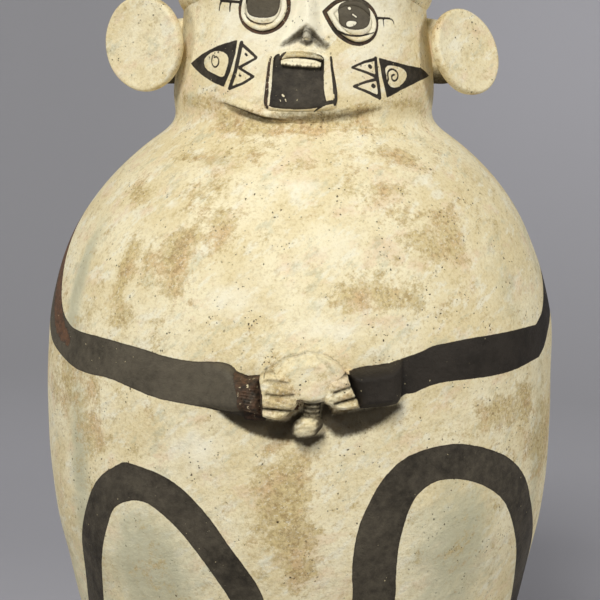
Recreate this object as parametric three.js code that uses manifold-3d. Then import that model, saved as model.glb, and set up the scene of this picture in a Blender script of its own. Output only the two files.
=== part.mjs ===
// Effigy vessel: a tall figure jar of fired clay with a face on its neck.
// The jar is a pinched base disc, two coil-built body shells, a neck tube and a rolled rim.
// Ears, features, forearms, hands, feet and the clasped bulb are modelled apart and luted on.
// Millimetres, +Z up. The figure looks along -Y, and the origin is the centre of the resting face.

import * as THREE from 'three';
import { mergeVertices } from 'three/addons/utils/BufferGeometryUtils.js';
import Module from 'manifold-3d';

// Seams and wall
const SEAM_GAP = 0.3;
const WALL = 7.5;

// Jar body
const BODY_HEIGHT = 387;
const GIRTH_RADIUS = 142;
const BASE_THICKNESS = 10;
const REST_RADIUS = 54;
const GIRTH_SEAM_RISE = 230;

// Head, measured up from the neck seam
const HEAD_RADIUS = 73;
const JAW_LINE_RISE = 4.6;
const JAW_ROLL_WIDTH = 5;
const JAW_ROLL_SWELL = 2.8;
const JAW_ROLL_HALF_LENGTH = 50;
const JAW_CORNER_LIFT = 7;
const MOUTH_PANEL_WIDTH = 28;
const MOUTH_PANEL_HEIGHT = 20;
const MOUTH_PANEL_SWELL = 1.8;
const TEETH_WIDTH = 20;
const TEETH_HEIGHT = 4.2;
const TEETH_SWELL = 3.4;
const LIP_WIDTH = 22.5;
const LIP_HEIGHT = 4.8;
const LIP_SWELL = 5.6;
const MOUTH_OFFSET = -1.6;
const FEATURE_GAP = 0.6;

// Nose
const NOSE_OFFSET = 1.2;
const NOSE_LIP_GAP = 2.6;
const NOSTRIL_WIDTH = 26;
const BRIDGE_WIDTH = 10.5;
const NOSE_SWELL = 12;
const BRIDGE_SWELL = 4.5;

// Eyes: the left one is round, the right one has a corner towards the nose
const EYE_RIM_WIDTH = 4.2;
const EYE_RIM_SWELL = 2.8;
const EYEBALL_SWELL = 2.4;
const LEFT_EYE_RADIUS = 13.8;
const LEFT_EYE_GAP = 3.2;
const LEFT_EYE_LIFT = 22;
const RIGHT_EYE_RADIUS = 14;
const RIGHT_EYE_CORNER = 2.4;
const RIGHT_EYE_GAP = 3.4;
const RIGHT_EYE_LIFT = 15.5;

// Headband and rim
const BROW_GAP = 2.5;
const HEADBAND_WIDTH = 18;
const HEADBAND_SWELL = 2.6;
const RIM_NECK = 10;
const RIM_HEIGHT = 14;
const RIM_ROLL = 3.4;

// Ears: a flattened lug on each side of the head carries a disc that faces forward and outward
const LUG_ROOT_HALF_HEIGHT = 18;
const LUG_ROOT_HALF_DEPTH = 7;
const LUG_TIP_HALF_HEIGHT = 15;
const LUG_TIP_HALF_DEPTH = 9;
const LUG_RISE = 39;
const LUG_REACH = 12;
const LUG_BAND_GAP = 4;
const DISC_THICKNESS = 6;
const DISC_LIP = 1.4;
const DISC_DISH = 1.6;
const LEFT_DISC_RADIUS = 26.5;
const LEFT_DISC_RISE = 43.5;
const LEFT_DISC_CLEARANCE = 1;
const RIGHT_DISC_RADIUS = 24.8;
const RIGHT_DISC_RISE = 39;
const RIGHT_DISC_CLEARANCE = 12;

// Clasped bulb at the waist: a boss under the hands, a ridged stem and a bulb below it
const CLASP_RISE = 264;
const BOSS_OFFSET = 2.9;
const BOSS_HALF_WIDTH = 17;
const BOSS_UPPER_HEIGHT = 17;
const BOSS_LOWER_HEIGHT = 10;
const BOSS_SWELL = 10;
const STEM_OFFSET = 5.2;
const STEM_WIDTH = 7.4;
const STEM_LENGTH = 4;
const STEM_SWELL = 9;
const BULB_OFFSET = 3.3;
const BULB_HALF_WIDTH = 7.4;
const BULB_HALF_HEIGHT = 6.3;
const BULB_SWELL = 12;

// Hands and forearms
const HAND_GAP = 0.7;
const HAND_SWELL = 14;
const KNUCKLE_SWELL = 11;
const CUT_OVERRUN = 2;
const LEFT_HAND_LENGTH = 14.2;
const LEFT_HAND_HEIGHT = 24.5;
const LEFT_HAND_DROP = 4.5;
const RIGHT_HAND_LENGTH = 12;
const RIGHT_HAND_HEIGHT = 17;
const RIGHT_HAND_DROP = 2;
const ELBOW_SWELL = 1.2;
const LEFT_FOREARM_LENGTH = 28;
const LEFT_WRIST_HEIGHT = 20;
const LEFT_ELBOW_HEIGHT = 23;
const LEFT_FOREARM_DROP = -1;
const RIGHT_FOREARM_LENGTH = 22;
const RIGHT_WRIST_HEIGHT = 18.5;
const RIGHT_ELBOW_HEIGHT = 19;
const RIGHT_FOREARM_DROP = -4;

// Feet, low on the front
const FOOT_WIDTH = 34;
const FOOT_HEIGHT = 22;
const FOOT_RISE = 58;
const FOOT_SWELL = 11;
const FOOT_OFFSET = 33;

// Angles round the jar are in degrees from the front, positive towards +X
const JAR_FACETS = 48;
const LUG_AZIMUTH = 87;
const LEFT_DISC_AZIMUTH = -74.8;
const LEFT_DISC_YAW = -34.6;
const LEFT_DISC_TILT = 0;
const RIGHT_DISC_AZIMUTH = 77.5;
const RIGHT_DISC_YAW = 43.7;
const RIGHT_DISC_TILT = 17.5;
const RIGHT_EYE_CORNER_ANGLE = 168;
const FINGERS = 4;
const TOES = 5;
const LOWER_ROWS = 11;
const UPPER_ROWS = 10;
const HEAD_ROWS = 14;
const INNER_ROWS = 5;

// Outlines as shares: place along the height, then size across it
const BODY_SHARES = [
  [0, 0.412], [0.039, 0.518], [0.078, 0.601], [0.155, 0.726], [0.233, 0.818], [0.297, 0.876],
  [0.375, 0.927], [0.452, 0.974], [0.53, 0.994], [0.62, 1], [0.711, 0.995], [0.762, 0.973],
  [0.814, 0.93], [0.866, 0.866], [0.917, 0.768], [0.961, 0.648], [1, 0.506],
];
const GIRTH_PLACE_SHARE = 0.62;
const HEAD_SHARES = [
  [0, 0.978], [0.041, 0.984], [0.138, 1], [0.26, 0.984], [0.382, 0.949], [0.488, 0.928],
  [0.553, 0.935], [0.675, 0.953], [0.789, 0.973], [0.902, 0.995], [1, 1.014],
];
const NOSE_WIDTH_SHARES = [[0, 0.62], [0.08, 1], [0.2, 0.82], [0.45, 0.1], [1, 0]];
const NOSE_SWELL_SHARES = [[0, -0.35], [0.08, 0.2], [0.2, 1], [0.5, 0.25], [1, -0.35]];
const FOREARM_SWELL_SHARES = [[0, 1], [0.35, 0.8], [0.7, 0.35], [1, 0]];
const SLOPE_PROBE_SHARE = 0.01;
const ARCH_FULLNESS_SHARE = 0.6;
const GROOVE_DEPTH_SHARE = 0.3;
const TIP_SETBACK_SHARE = 0.1;

const headStart = BODY_HEIGHT;
const jawLine = headStart + JAW_LINE_RISE;
const mouthPanelBottom = jawLine + JAW_ROLL_WIDTH + FEATURE_GAP;
const teethBottom = mouthPanelBottom + MOUTH_PANEL_HEIGHT + FEATURE_GAP;
const lipBottom = teethBottom + TEETH_HEIGHT + FEATURE_GAP;
const noseBottom = lipBottom + LIP_HEIGHT + NOSE_LIP_GAP;
const leftEyeHeight = noseBottom + LEFT_EYE_LIFT;
const rightEyeHeight = noseBottom + RIGHT_EYE_LIFT;
const eyeTop = Math.max(leftEyeHeight + LEFT_EYE_RADIUS, rightEyeHeight + RIGHT_EYE_RADIUS);
const bandFront = eyeTop + BROW_GAP;
const bandSide = headStart + LUG_RISE + LUG_ROOT_HALF_HEIGHT + LUG_BAND_GAP;
const rimSeam = Math.max(bandFront, bandSide) + HEADBAND_WIDTH + RIM_NECK;
const headHeight = rimSeam + RIM_HEIGHT - headStart;
const girthSeam = BASE_THICKNESS + GIRTH_SEAM_RISE;

const bulbLeft = BULB_OFFSET - BULB_HALF_WIDTH;
const bulbRight = BULB_OFFSET + BULB_HALF_WIDTH;
const leftFingertips = bulbLeft - HAND_GAP;
const rightFingertips = bulbRight + HAND_GAP;
const stemTop = CLASP_RISE - BOSS_LOWER_HEIGHT - SEAM_GAP;
const bulbTop = stemTop - STEM_LENGTH - SEAM_GAP;

const wasm = await Module();
wasm.setup();

// A smooth curve through rows of [place share, size share], read at one place share
function readShares(shares, place) {
  const last = shares.length - 1;
  const at = THREE.MathUtils.clamp(place, shares[0][0], shares[last][0]);
  const found = shares.findIndex((row) => row[0] >= at);
  const upper = Math.max(found, 1);
  const lower = upper - 1;
  const slope = (row) => {
    const before = shares[Math.max(row - 1, 0)];
    const after = shares[Math.min(row + 1, last)];
    return (after[1] - before[1]) / (after[0] - before[0]);
  };
  const span = shares[upper][0] - shares[lower][0];
  const t = (at - shares[lower][0]) / span;
  const start = shares[lower][1] * (1 + 2 * t) * (1 - t) ** 2;
  const end = shares[upper][1] * (3 - 2 * t) * t ** 2;
  const leaving = slope(lower) * span * t * (1 - t) ** 2;
  const arriving = slope(upper) * span * t ** 2 * (1 - t);
  return start + end + leaving - arriving;
}

const headRadius = (z) => HEAD_RADIUS * readShares(HEAD_SHARES, (z - headStart) / headHeight);

// The belly follows the girth, and above it the shoulder closes in on the foot of the head
function bodyRadius(z) {
  const share = readShares(BODY_SHARES, z / BODY_HEIGHT);
  if (z < BODY_HEIGHT * GIRTH_PLACE_SHARE) {
    return GIRTH_RADIUS * share;
  }
  const neckShare = BODY_SHARES.at(-1)[1];
  return THREE.MathUtils.lerp(headRadius(headStart), GIRTH_RADIUS, (share - neckShare) / (1 - neckShare));
}

// The inner radius that leaves one wall thickness, measured square to the slope of the outside
function innerRadius(radiusAt, z) {
  const probe = WALL * SLOPE_PROBE_SHARE;
  const slope = (radiusAt(z + probe) - radiusAt(z - probe)) / (2 * probe);
  return radiusAt(z) - WALL * Math.hypot(1, slope);
}

// A point on the jar: angle from the front, distance from the axis, height
function onJar(angle, radius, z) {
  return new THREE.Vector3(radius * Math.sin(angle), -radius * Math.cos(angle), z);
}

// Turns every face outward, whichever way the geometry was wound
function facingOut(geometry) {
  const place = geometry.getAttribute('position');
  const order = geometry.getIndex();
  const corners = [new THREE.Vector3(), new THREE.Vector3(), new THREE.Vector3()];
  let volume = 0;
  for (let face = 0; face < order.count; face += 3) {
    corners.forEach((corner, turn) => corner.fromBufferAttribute(place, order.getX(face + turn)));
    volume += corners[0].dot(corners[1].cross(corners[2]));
  }
  if (volume < 0) {
    for (let face = 0; face < order.count; face += 3) {
      const first = order.getX(face);
      order.setX(face, order.getX(face + 1));
      order.setX(face + 1, first);
    }
  }
  geometry.computeVertexNormals();
  return geometry;
}

// A solid of revolution about +Z from a profile of [radius, height] points
function turned(profile, facets) {
  const points = profile.map(([radius, height]) => new THREE.Vector2(radius, height));
  return facingOut(new THREE.LatheGeometry(points, facets).rotateX(Math.PI / 2));
}

// A coil-built wall between two heights, with level seams at both ends
function shell(radiusAt, bottom, top, outerRows, innerRows) {
  const outer = [];
  for (let row = 0; row <= outerRows; row += 1) {
    const z = THREE.MathUtils.lerp(bottom, top, row / outerRows);
    outer.push([radiusAt(z), z]);
  }
  const inner = [];
  for (let row = innerRows; row >= 0; row -= 1) {
    const z = THREE.MathUtils.lerp(bottom, top, row / innerRows);
    inner.push([innerRadius(radiusAt, z), z]);
  }
  return turned([...outer, ...inner, outer[0]], JAR_FACETS);
}

// A closed solid over sections, each a ring of as many points; a loop has no ends to cap
function skin(sections, loop = false) {
  const count = sections[0].length;
  const points = sections.flat();
  const order = [];
  const spans = loop ? sections.length : sections.length - 1;
  for (let span = 0; span < spans; span += 1) {
    const near = span * count;
    const far = ((span + 1) % sections.length) * count;
    for (let i = 0; i < count; i += 1) {
      const next = (i + 1) % count;
      order.push(near + i, far + i, near + next);
      order.push(near + next, far + i, far + next);
    }
  }
  const cap = (section, first, forward) => {
    const middle = new THREE.Vector3();
    section.forEach((point) => middle.addScaledVector(point, 1 / count));
    points.push(middle);
    for (let i = 0; i < count; i += 1) {
      const next = (i + 1) % count;
      const pair = forward ? [first + i, first + next] : [first + next, first + i];
      order.push(points.length - 1, ...pair);
    }
  };
  if (!loop) {
    cap(sections[0], 0, true);
    cap(sections.at(-1), (sections.length - 1) * count, false);
  }
  const geometry = new THREE.BufferGeometry();
  const flat = points.flatMap((point) => point.toArray());
  geometry.setAttribute('position', new THREE.Float32BufferAttribute(flat, 3));
  geometry.setIndex(order);
  return geometry;
}

// Section of a modelled strip lying on a flat back: [across, out] pairs, front first, then back
function archSection(halfWidth, swell, frontSteps, backSteps) {
  const section = [];
  for (let step = 0; step <= frontSteps; step += 1) {
    const turn = (Math.PI * step) / frontSteps;
    section.push([-halfWidth * Math.cos(turn), swell * Math.sin(turn) ** ARCH_FULLNESS_SHARE]);
  }
  for (let step = 1; step < backSteps; step += 1) {
    section.push([halfWidth * (1 - (2 * step) / backSteps), 0]);
  }
  return section;
}

// Bends a flat piece round the jar: x runs round it, y up it and z out of it, with a luting seam
function layOn(geometry, radiusAt, offset, height) {
  const place = geometry.getAttribute('position');
  const around = radiusAt(height);
  const point = new THREE.Vector3();
  for (let i = 0; i < place.count; i += 1) {
    point.fromBufferAttribute(place, i);
    const z = height + point.y;
    const angle = (offset + point.x) / around;
    const laid = onJar(angle, radiusAt(z) + SEAM_GAP + point.z, z);
    place.setXYZ(i, laid.x, laid.y, laid.z);
  }
  return facingOut(geometry);
}

// A low mound with a flat back, its upper and lower halves of different height
function mound(halfWidth, upperHeight, lowerHeight, swell, sink, facets, rings) {
  const geometry = new THREE.SphereGeometry(1, facets, rings).rotateX(Math.PI / 2);
  const place = geometry.getAttribute('position');
  for (let i = 0; i < place.count; i += 1) {
    const tall = place.getY(i) > 0 ? upperHeight : lowerHeight;
    const out = THREE.MathUtils.lerp(place.getZ(i), 1, sink) * swell;
    place.setXYZ(i, place.getX(i) * halfWidth, place.getY(i) * tall, Math.max(out, 0));
  }
  geometry.deleteAttribute('normal');
  geometry.deleteAttribute('uv');
  return mergeVertices(geometry);
}

// A straight bar of even section along x, rounded in front and flat behind
function bar(width, height, swell, columns) {
  const sections = [];
  for (let column = 0; column <= columns; column += 1) {
    const share = column / columns;
    const ease = 1 - (2 * share - 1) ** 8 * ARCH_FULLNESS_SHARE;
    const section = archSection(height / 2, swell * ease, 6, 2);
    const x = (share - 1 / 2) * width;
    sections.push(section.map(([across, out]) => new THREE.Vector3(x, across, out)));
  }
  return skin(sections);
}

// A hand or foot: digits side by side along y, each one running along x from root to tip
function digits(count, length, breadth, rootSwell, tipSwell, grow, sink) {
  const rowsPerDigit = 4;
  const rows = count * rowsPerDigit;
  const sections = [];
  for (let row = 0; row <= rows; row += 1) {
    const knuckle = Math.abs(Math.sin((Math.PI * row) / rowsPerDigit)) ** ARCH_FULLNESS_SHARE;
    const edge = 1 - (2 * row / rows - 1) ** 8 * ARCH_FULLNESS_SHARE;
    const groove = 1 - GROOVE_DEPTH_SHARE * (1 - knuckle);
    const tip = length * (1 - TIP_SETBACK_SHARE * (1 - knuckle)) + grow;
    const y = (row / rows - 1 / 2) * (breadth + 2 * grow);
    const root = rootSwell * edge * groove + grow;
    const end = tipSwell * edge * groove + grow;
    const front = [
      [-grow, 0], [-grow, root], [length / 4, root], [length / 2, (root + end) / 2],
      [length * (3 / 4), end], [tip - end / 4, end * (3 / 4)], [tip, 0],
    ];
    const back = [[length * (3 / 4), -sink], [length / 4, -sink]];
    sections.push([...front, ...back].map(([x, out]) => new THREE.Vector3(x, y, out)));
  }
  return skin(sections);
}

// One solid for the boolean library, and back again
function solidOf(geometry) {
  const bare = geometry.clone();
  bare.deleteAttribute('normal');
  bare.deleteAttribute('uv');
  const merged = mergeVertices(bare);
  const vertProperties = new Float32Array(merged.getAttribute('position').array);
  const triVerts = new Uint32Array(merged.getIndex().array);
  return new wasm.Manifold(new wasm.Mesh({ numProp: 3, vertProperties, triVerts }));
}

function geometryOf(solid) {
  const mesh = solid.getMesh();
  const geometry = new THREE.BufferGeometry();
  geometry.setAttribute('position', new THREE.BufferAttribute(mesh.vertProperties, 3));
  geometry.setIndex(new THREE.BufferAttribute(mesh.triVerts, 1));
  geometry.computeVertexNormals();
  return geometry;
}

// Jar: base disc, two shells, neck tube and rolled rim
function baseDisc() {
  const profile = [[0, 0], [REST_RADIUS, 0]];
  const risers = 3;
  for (let riser = 1; riser <= risers; riser += 1) {
    const z = (BASE_THICKNESS * riser) / risers;
    profile.push([bodyRadius(z), z]);
  }
  profile.push([0, BASE_THICKNESS]);
  return turned(profile, JAR_FACETS);
}

function rimCollar() {
  const inside = innerRadius(headRadius, rimSeam);
  const outside = headRadius(rimSeam);
  const middle = (inside + outside) / 2;
  const reach = (outside - inside) / 2 + RIM_ROLL;
  const profile = [[inside, rimSeam], [outside, rimSeam]];
  const steps = 6;
  for (let step = 0; step <= steps; step += 1) {
    const turn = (Math.PI * step) / steps;
    const lean = Math.cos(turn) > 0 ? reach : middle - inside;
    const z = rimSeam + (RIM_HEIGHT * (1 + Math.sin(turn))) / 2;
    profile.push([middle + lean * Math.cos(turn), z]);
  }
  return turned([...profile, profile[0]], JAR_FACETS);
}

// Raised band round the head, arched over the brow and lower behind the ears
function headband() {
  const sections = [];
  for (let facet = 0; facet < JAR_FACETS; facet += 1) {
    const angle = (2 * Math.PI * facet) / JAR_FACETS;
    const front = Math.max(Math.cos(angle), 0) ** 2;
    const bottom = THREE.MathUtils.lerp(bandSide, bandFront, front);
    const section = archSection(HEADBAND_WIDTH / 2, HEADBAND_SWELL, 5, 3);
    sections.push(section.map(([across, out]) => {
      const z = bottom + HEADBAND_WIDTH / 2 + across;
      return onJar(angle, headRadius(z) + SEAM_GAP + out, z);
    }));
  }
  return facingOut(skin(sections, true));
}

// Face
function jawRoll() {
  const columns = 20;
  const sections = [];
  for (let column = 0; column <= columns; column += 1) {
    const side = (2 * column) / columns - 1;
    const swell = JAW_ROLL_SWELL * (1 - side ** 2 * ARCH_FULLNESS_SHARE);
    const lift = JAW_CORNER_LIFT * side ** 2;
    const section = archSection(JAW_ROLL_WIDTH / 2, swell, 5, 2);
    const x = side * JAW_ROLL_HALF_LENGTH;
    sections.push(section.map(([across, out]) => new THREE.Vector3(x, across + lift, out)));
  }
  return layOn(skin(sections), headRadius, 0, jawLine + JAW_ROLL_WIDTH / 2);
}

// A bar on the face between two heights
function mouthBar(width, bottom, height, swell, columns) {
  const middle = bottom + height / 2;
  return layOn(bar(width, height, swell, columns), headRadius, MOUTH_OFFSET, middle);
}

// The mouth panel is a slab, so its sections run up the face in rows
function mouthPanel() {
  const rows = 6;
  const sections = [];
  for (let row = 0; row <= rows; row += 1) {
    const share = row / rows;
    const swell = MOUTH_PANEL_SWELL * (1 - (2 * share - 1) ** 8 * ARCH_FULLNESS_SHARE);
    const half = MOUTH_PANEL_WIDTH / 2;
    const y = (share - 1 / 2) * MOUTH_PANEL_HEIGHT;
    const front = [-1, -0.9, -0.5, 0, 0.5, 0.9, 1].map((place) => {
      const out = Math.abs(place) === 1 ? 0 : swell;
      return new THREE.Vector3(place * half, y, out);
    });
    const back = [0.5, 0, -0.5].map((place) => new THREE.Vector3(place * half, y, 0));
    sections.push([...front, ...back]);
  }
  const middle = mouthPanelBottom + MOUTH_PANEL_HEIGHT / 2;
  return layOn(skin(sections), headRadius, MOUTH_OFFSET, middle);
}

function nose() {
  const length = bandFront - FEATURE_GAP - noseBottom;
  const rows = 10;
  const sections = [];
  for (let row = 0; row <= rows; row += 1) {
    const share = (row / rows) ** 1.5;
    const widening = readShares(NOSE_WIDTH_SHARES, share);
    const rising = readShares(NOSE_SWELL_SHARES, share);
    const width = THREE.MathUtils.lerp(BRIDGE_WIDTH, NOSTRIL_WIDTH, widening);
    const swell = THREE.MathUtils.lerp(BRIDGE_SWELL, NOSE_SWELL, rising);
    const section = archSection(width / 2, swell, 8, 4);
    sections.push(section.map(([x, out]) => new THREE.Vector3(x, share * length, out)));
  }
  return layOn(skin(sections), headRadius, NOSE_OFFSET, noseBottom);
}

function eyeRim(radius, corner, offset, height) {
  const stations = 24;
  const cornerAngle = THREE.MathUtils.degToRad(RIGHT_EYE_CORNER_ANGLE);
  const sections = [];
  for (let station = 0; station < stations; station += 1) {
    const angle = (2 * Math.PI * station) / stations;
    const point = Math.max(Math.cos(angle - cornerAngle), 0) ** 12;
    const middle = radius + corner * point - EYE_RIM_WIDTH / 2;
    const section = archSection(EYE_RIM_WIDTH / 2, EYE_RIM_SWELL, 5, 1);
    sections.push(section.map(([across, out]) => {
      const reach = middle + across;
      return new THREE.Vector3(reach * Math.cos(angle), reach * Math.sin(angle), out);
    }));
  }
  return layOn(skin(sections, true), headRadius, offset, height);
}

function eyeball(radius, offset, height) {
  const reach = radius - EYE_RIM_WIDTH - FEATURE_GAP;
  const ball = mound(reach, reach, reach, EYEBALL_SWELL, 0, 20, 8);
  return layOn(ball, headRadius, offset, height);
}

// Ears
function discDirection(yaw, tilt) {
  const level = THREE.MathUtils.degToRad(yaw);
  const up = THREE.MathUtils.degToRad(tilt);
  const flat = Math.cos(up);
  return new THREE.Vector3(Math.sin(level) * flat, -Math.cos(level) * flat, Math.sin(up));
}

// The disc stands so far out that its edge nearest the head keeps the given clearance
function discCentre(ear) {
  const azimuth = THREE.MathUtils.degToRad(ear.azimuth);
  const yaw = THREE.MathUtils.degToRad(ear.yaw);
  const outward = new THREE.Vector2(Math.sin(azimuth), -Math.cos(azimuth));
  const facing = new THREE.Vector2(Math.sin(yaw), -Math.cos(yaw));
  const inPlane = new THREE.Vector2(Math.cos(yaw), Math.sin(yaw)).multiplyScalar(-ear.side);
  const edge = inPlane.multiplyScalar(ear.radius).addScaledVector(facing, -DISC_THICKNESS / 2);
  const limit = headRadius(ear.height) + ear.clearance;
  const along = outward.dot(edge);
  const reach = -along + Math.sqrt(along ** 2 - edge.lengthSq() + limit ** 2);
  return new THREE.Vector3(outward.x * reach, outward.y * reach, ear.height);
}

function earDisc(ear) {
  const half = DISC_THICKNESS / 2;
  const rim = ear.radius - DISC_LIP;
  const profile = [
    [0, -half], [rim, -half], [ear.radius, -half + DISC_LIP], [ear.radius, half - DISC_LIP],
    [rim, half], [rim - 2 * DISC_LIP, half - DISC_LIP / 2], [ear.radius / 4, half - DISC_DISH / 2],
    [0, half - DISC_DISH],
  ];
  return turned(profile, 28);
}

function earLug(ear) {
  const stations = 14;
  const spans = 5;
  const azimuth = THREE.MathUtils.degToRad(ear.side * LUG_AZIMUTH);
  const rootHeight = headStart + LUG_RISE;
  const around = headRadius(rootHeight);
  const facing = discDirection(ear.yaw, ear.tilt);
  const level = new THREE.Vector3(Math.cos(azimuth), Math.sin(azimuth), 0);
  const across = level.addScaledVector(facing, -level.dot(facing)).normalize();
  const up = new THREE.Vector3().crossVectors(facing, across);
  const tipCentre = discCentre(ear).addScaledVector(facing, -DISC_THICKNESS / 2 - SEAM_GAP);
  const sections = Array.from({ length: spans + 1 }, () => []);
  for (let station = 0; station < stations; station += 1) {
    const turn = (2 * Math.PI * station) / stations;
    const angle = azimuth + (LUG_ROOT_HALF_DEPTH * Math.cos(turn)) / around;
    const z = rootHeight + LUG_ROOT_HALF_HEIGHT * Math.sin(turn);
    const root = onJar(angle, headRadius(z) + SEAM_GAP, z);
    const bend = onJar(azimuth, headRadius(z) + LUG_REACH, z).sub(onJar(azimuth, headRadius(z), z));
    const tip = tipCentre.clone();
    tip.addScaledVector(across, LUG_TIP_HALF_DEPTH * Math.cos(turn));
    tip.addScaledVector(up, LUG_TIP_HALF_HEIGHT * Math.sin(turn));
    const path = new THREE.QuadraticBezierCurve3(root, bend.add(root), tip);
    sections.forEach((section, span) => section.push(path.getPoint(span / spans)));
  }
  const root = onJar(azimuth, around + SEAM_GAP, rootHeight);
  const geometry = skin(sections);
  const place = geometry.getAttribute('position');
  place.setXYZ(place.count - 2, root.x, root.y, root.z);
  return facingOut(geometry);
}

// Hands, forearms, the clasped bulb and feet
function hand(arm, grow, sink) {
  const flat = digits(FINGERS, arm.handLength, arm.handHeight, HAND_SWELL, KNUCKLE_SWELL, grow, sink);
  flat.scale(-arm.side, 1, 1);
  return layOn(flat, bodyRadius, arm.fingertips + arm.side * arm.handLength, arm.handRise);
}

function forearm(arm) {
  const columns = 9;
  const sections = [];
  for (let column = 0; column <= columns; column += 1) {
    const share = column / columns;
    const height = THREE.MathUtils.lerp(arm.wristHeight, arm.elbowHeight, share);
    const swelling = readShares(FOREARM_SWELL_SHARES, share);
    const swell = THREE.MathUtils.lerp(ELBOW_SWELL, HAND_SWELL, swelling);
    const x = arm.side * (SEAM_GAP + arm.forearmLength * share);
    const section = archSection(height / 2, swell, 8, 3);
    const sag = arm.drop * share;
    sections.push(section.map(([across, out]) => new THREE.Vector3(x, across - sag, out)));
  }
  const wrist = arm.fingertips + arm.side * arm.handLength;
  return layOn(skin(sections), bodyRadius, wrist, arm.handRise);
}

function claspedBoss(arms) {
  const swelling = mound(BOSS_HALF_WIDTH, BOSS_UPPER_HEIGHT, BOSS_LOWER_HEIGHT, BOSS_SWELL, 0, 28, 12);
  const boss = solidOf(layOn(swelling, bodyRadius, BOSS_OFFSET, CLASP_RISE));
  const cuts = arms.map((arm) => solidOf(hand(arm, SEAM_GAP, CUT_OVERRUN)));
  return geometryOf(cuts.reduce((solid, cut) => solid.subtract(cut), boss));
}

function bossStem() {
  const rows = 4;
  const sections = [];
  for (let row = 0; row <= rows; row += 1) {
    const ridge = row % 2 === 0 ? 1 : 1 - GROOVE_DEPTH_SHARE / 2;
    const section = archSection((STEM_WIDTH / 2) * ridge, STEM_SWELL * ridge, 8, 2);
    const y = -STEM_LENGTH * (1 - row / rows);
    sections.push(section.map(([x, out]) => new THREE.Vector3(x, y, out)));
  }
  return layOn(skin(sections), bodyRadius, STEM_OFFSET, stemTop);
}

function bossBulb() {
  const sunk = 0.25;
  const ball = mound(BULB_HALF_WIDTH, BULB_HALF_HEIGHT, BULB_HALF_HEIGHT, BULB_SWELL, sunk, 18, 10);
  return layOn(ball, bodyRadius, BULB_OFFSET, bulbTop - BULB_HALF_HEIGHT);
}

function foot(side) {
  const flat = digits(TOES, FOOT_HEIGHT, FOOT_WIDTH, FOOT_SWELL / 3, FOOT_SWELL, 0, 0);
  flat.rotateZ(-Math.PI / 2);
  return layOn(flat, bodyRadius, side * FOOT_OFFSET, FOOT_RISE + FOOT_HEIGHT / 2);
}

const EARS = [
  {
    name: 'left', side: -1, radius: LEFT_DISC_RADIUS, height: headStart + LEFT_DISC_RISE,
    azimuth: LEFT_DISC_AZIMUTH, yaw: LEFT_DISC_YAW, tilt: LEFT_DISC_TILT,
    clearance: LEFT_DISC_CLEARANCE,
  },
  {
    name: 'right', side: 1, radius: RIGHT_DISC_RADIUS, height: headStart + RIGHT_DISC_RISE,
    azimuth: RIGHT_DISC_AZIMUTH, yaw: RIGHT_DISC_YAW, tilt: RIGHT_DISC_TILT,
    clearance: RIGHT_DISC_CLEARANCE,
  },
];

const ARMS = [
  {
    name: 'left', side: -1, fingertips: leftFingertips, handLength: LEFT_HAND_LENGTH,
    handHeight: LEFT_HAND_HEIGHT, handRise: CLASP_RISE - LEFT_HAND_DROP, wristHeight: LEFT_WRIST_HEIGHT,
    elbowHeight: LEFT_ELBOW_HEIGHT, forearmLength: LEFT_FOREARM_LENGTH, drop: LEFT_FOREARM_DROP,
  },
  {
    name: 'right', side: 1, fingertips: rightFingertips, handLength: RIGHT_HAND_LENGTH,
    handHeight: RIGHT_HAND_HEIGHT, handRise: CLASP_RISE - RIGHT_HAND_DROP, wristHeight: RIGHT_WRIST_HEIGHT,
    elbowHeight: RIGHT_ELBOW_HEIGHT, forearmLength: RIGHT_FOREARM_LENGTH, drop: RIGHT_FOREARM_DROP,
  },
];

const EYES = [
  {
    name: 'left', radius: LEFT_EYE_RADIUS, corner: 0, height: leftEyeHeight,
    offset: NOSE_OFFSET - BRIDGE_WIDTH / 2 - LEFT_EYE_GAP - LEFT_EYE_RADIUS,
  },
  {
    name: 'right', radius: RIGHT_EYE_RADIUS, corner: RIGHT_EYE_CORNER, height: rightEyeHeight,
    offset: NOSE_OFFSET + BRIDGE_WIDTH / 2 + RIGHT_EYE_GAP + RIGHT_EYE_CORNER + RIGHT_EYE_RADIUS,
  },
];

const slip = (color, roughness) => new THREE.MeshStandardMaterial({ color, roughness, metalness: 0 });
const creamSlip = slip(0xd8cca4, 0.85);
const darkSlip = slip(0x3c332e, 0.75);
const bareClay = slip(0xb59368, 0.9);

const vessel = new THREE.Group();

function add(name, geometry, material) {
  const mesh = new THREE.Mesh(geometry, material.clone());
  mesh.name = name;
  vessel.add(mesh);
  return mesh;
}

add('base_disc', baseDisc(), bareClay);
add('lower_body', shell(bodyRadius, BASE_THICKNESS, girthSeam, LOWER_ROWS, INNER_ROWS), creamSlip);
add('upper_body', shell(bodyRadius, girthSeam, BODY_HEIGHT, UPPER_ROWS, INNER_ROWS), creamSlip);
add('head_neck', shell(headRadius, headStart, rimSeam, HEAD_ROWS, INNER_ROWS), creamSlip);
add('rim_collar', rimCollar(), creamSlip);
add('headband', headband(), creamSlip);

add('jaw_roll', jawRoll(), creamSlip);
add('mouth_panel', mouthPanel(), darkSlip);
add('teeth_strip', mouthBar(TEETH_WIDTH, teethBottom, TEETH_HEIGHT, TEETH_SWELL, 6), creamSlip);
add('upper_lip', mouthBar(LIP_WIDTH, lipBottom, LIP_HEIGHT, LIP_SWELL, 6), darkSlip);
add('nose', nose(), creamSlip);

for (const eye of EYES) {
  add(`${eye.name}_eye_rim`, eyeRim(eye.radius, eye.corner, eye.offset, eye.height), creamSlip);
  add(`${eye.name}_eyeball`, eyeball(eye.radius, eye.offset, eye.height), darkSlip);
}

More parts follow.
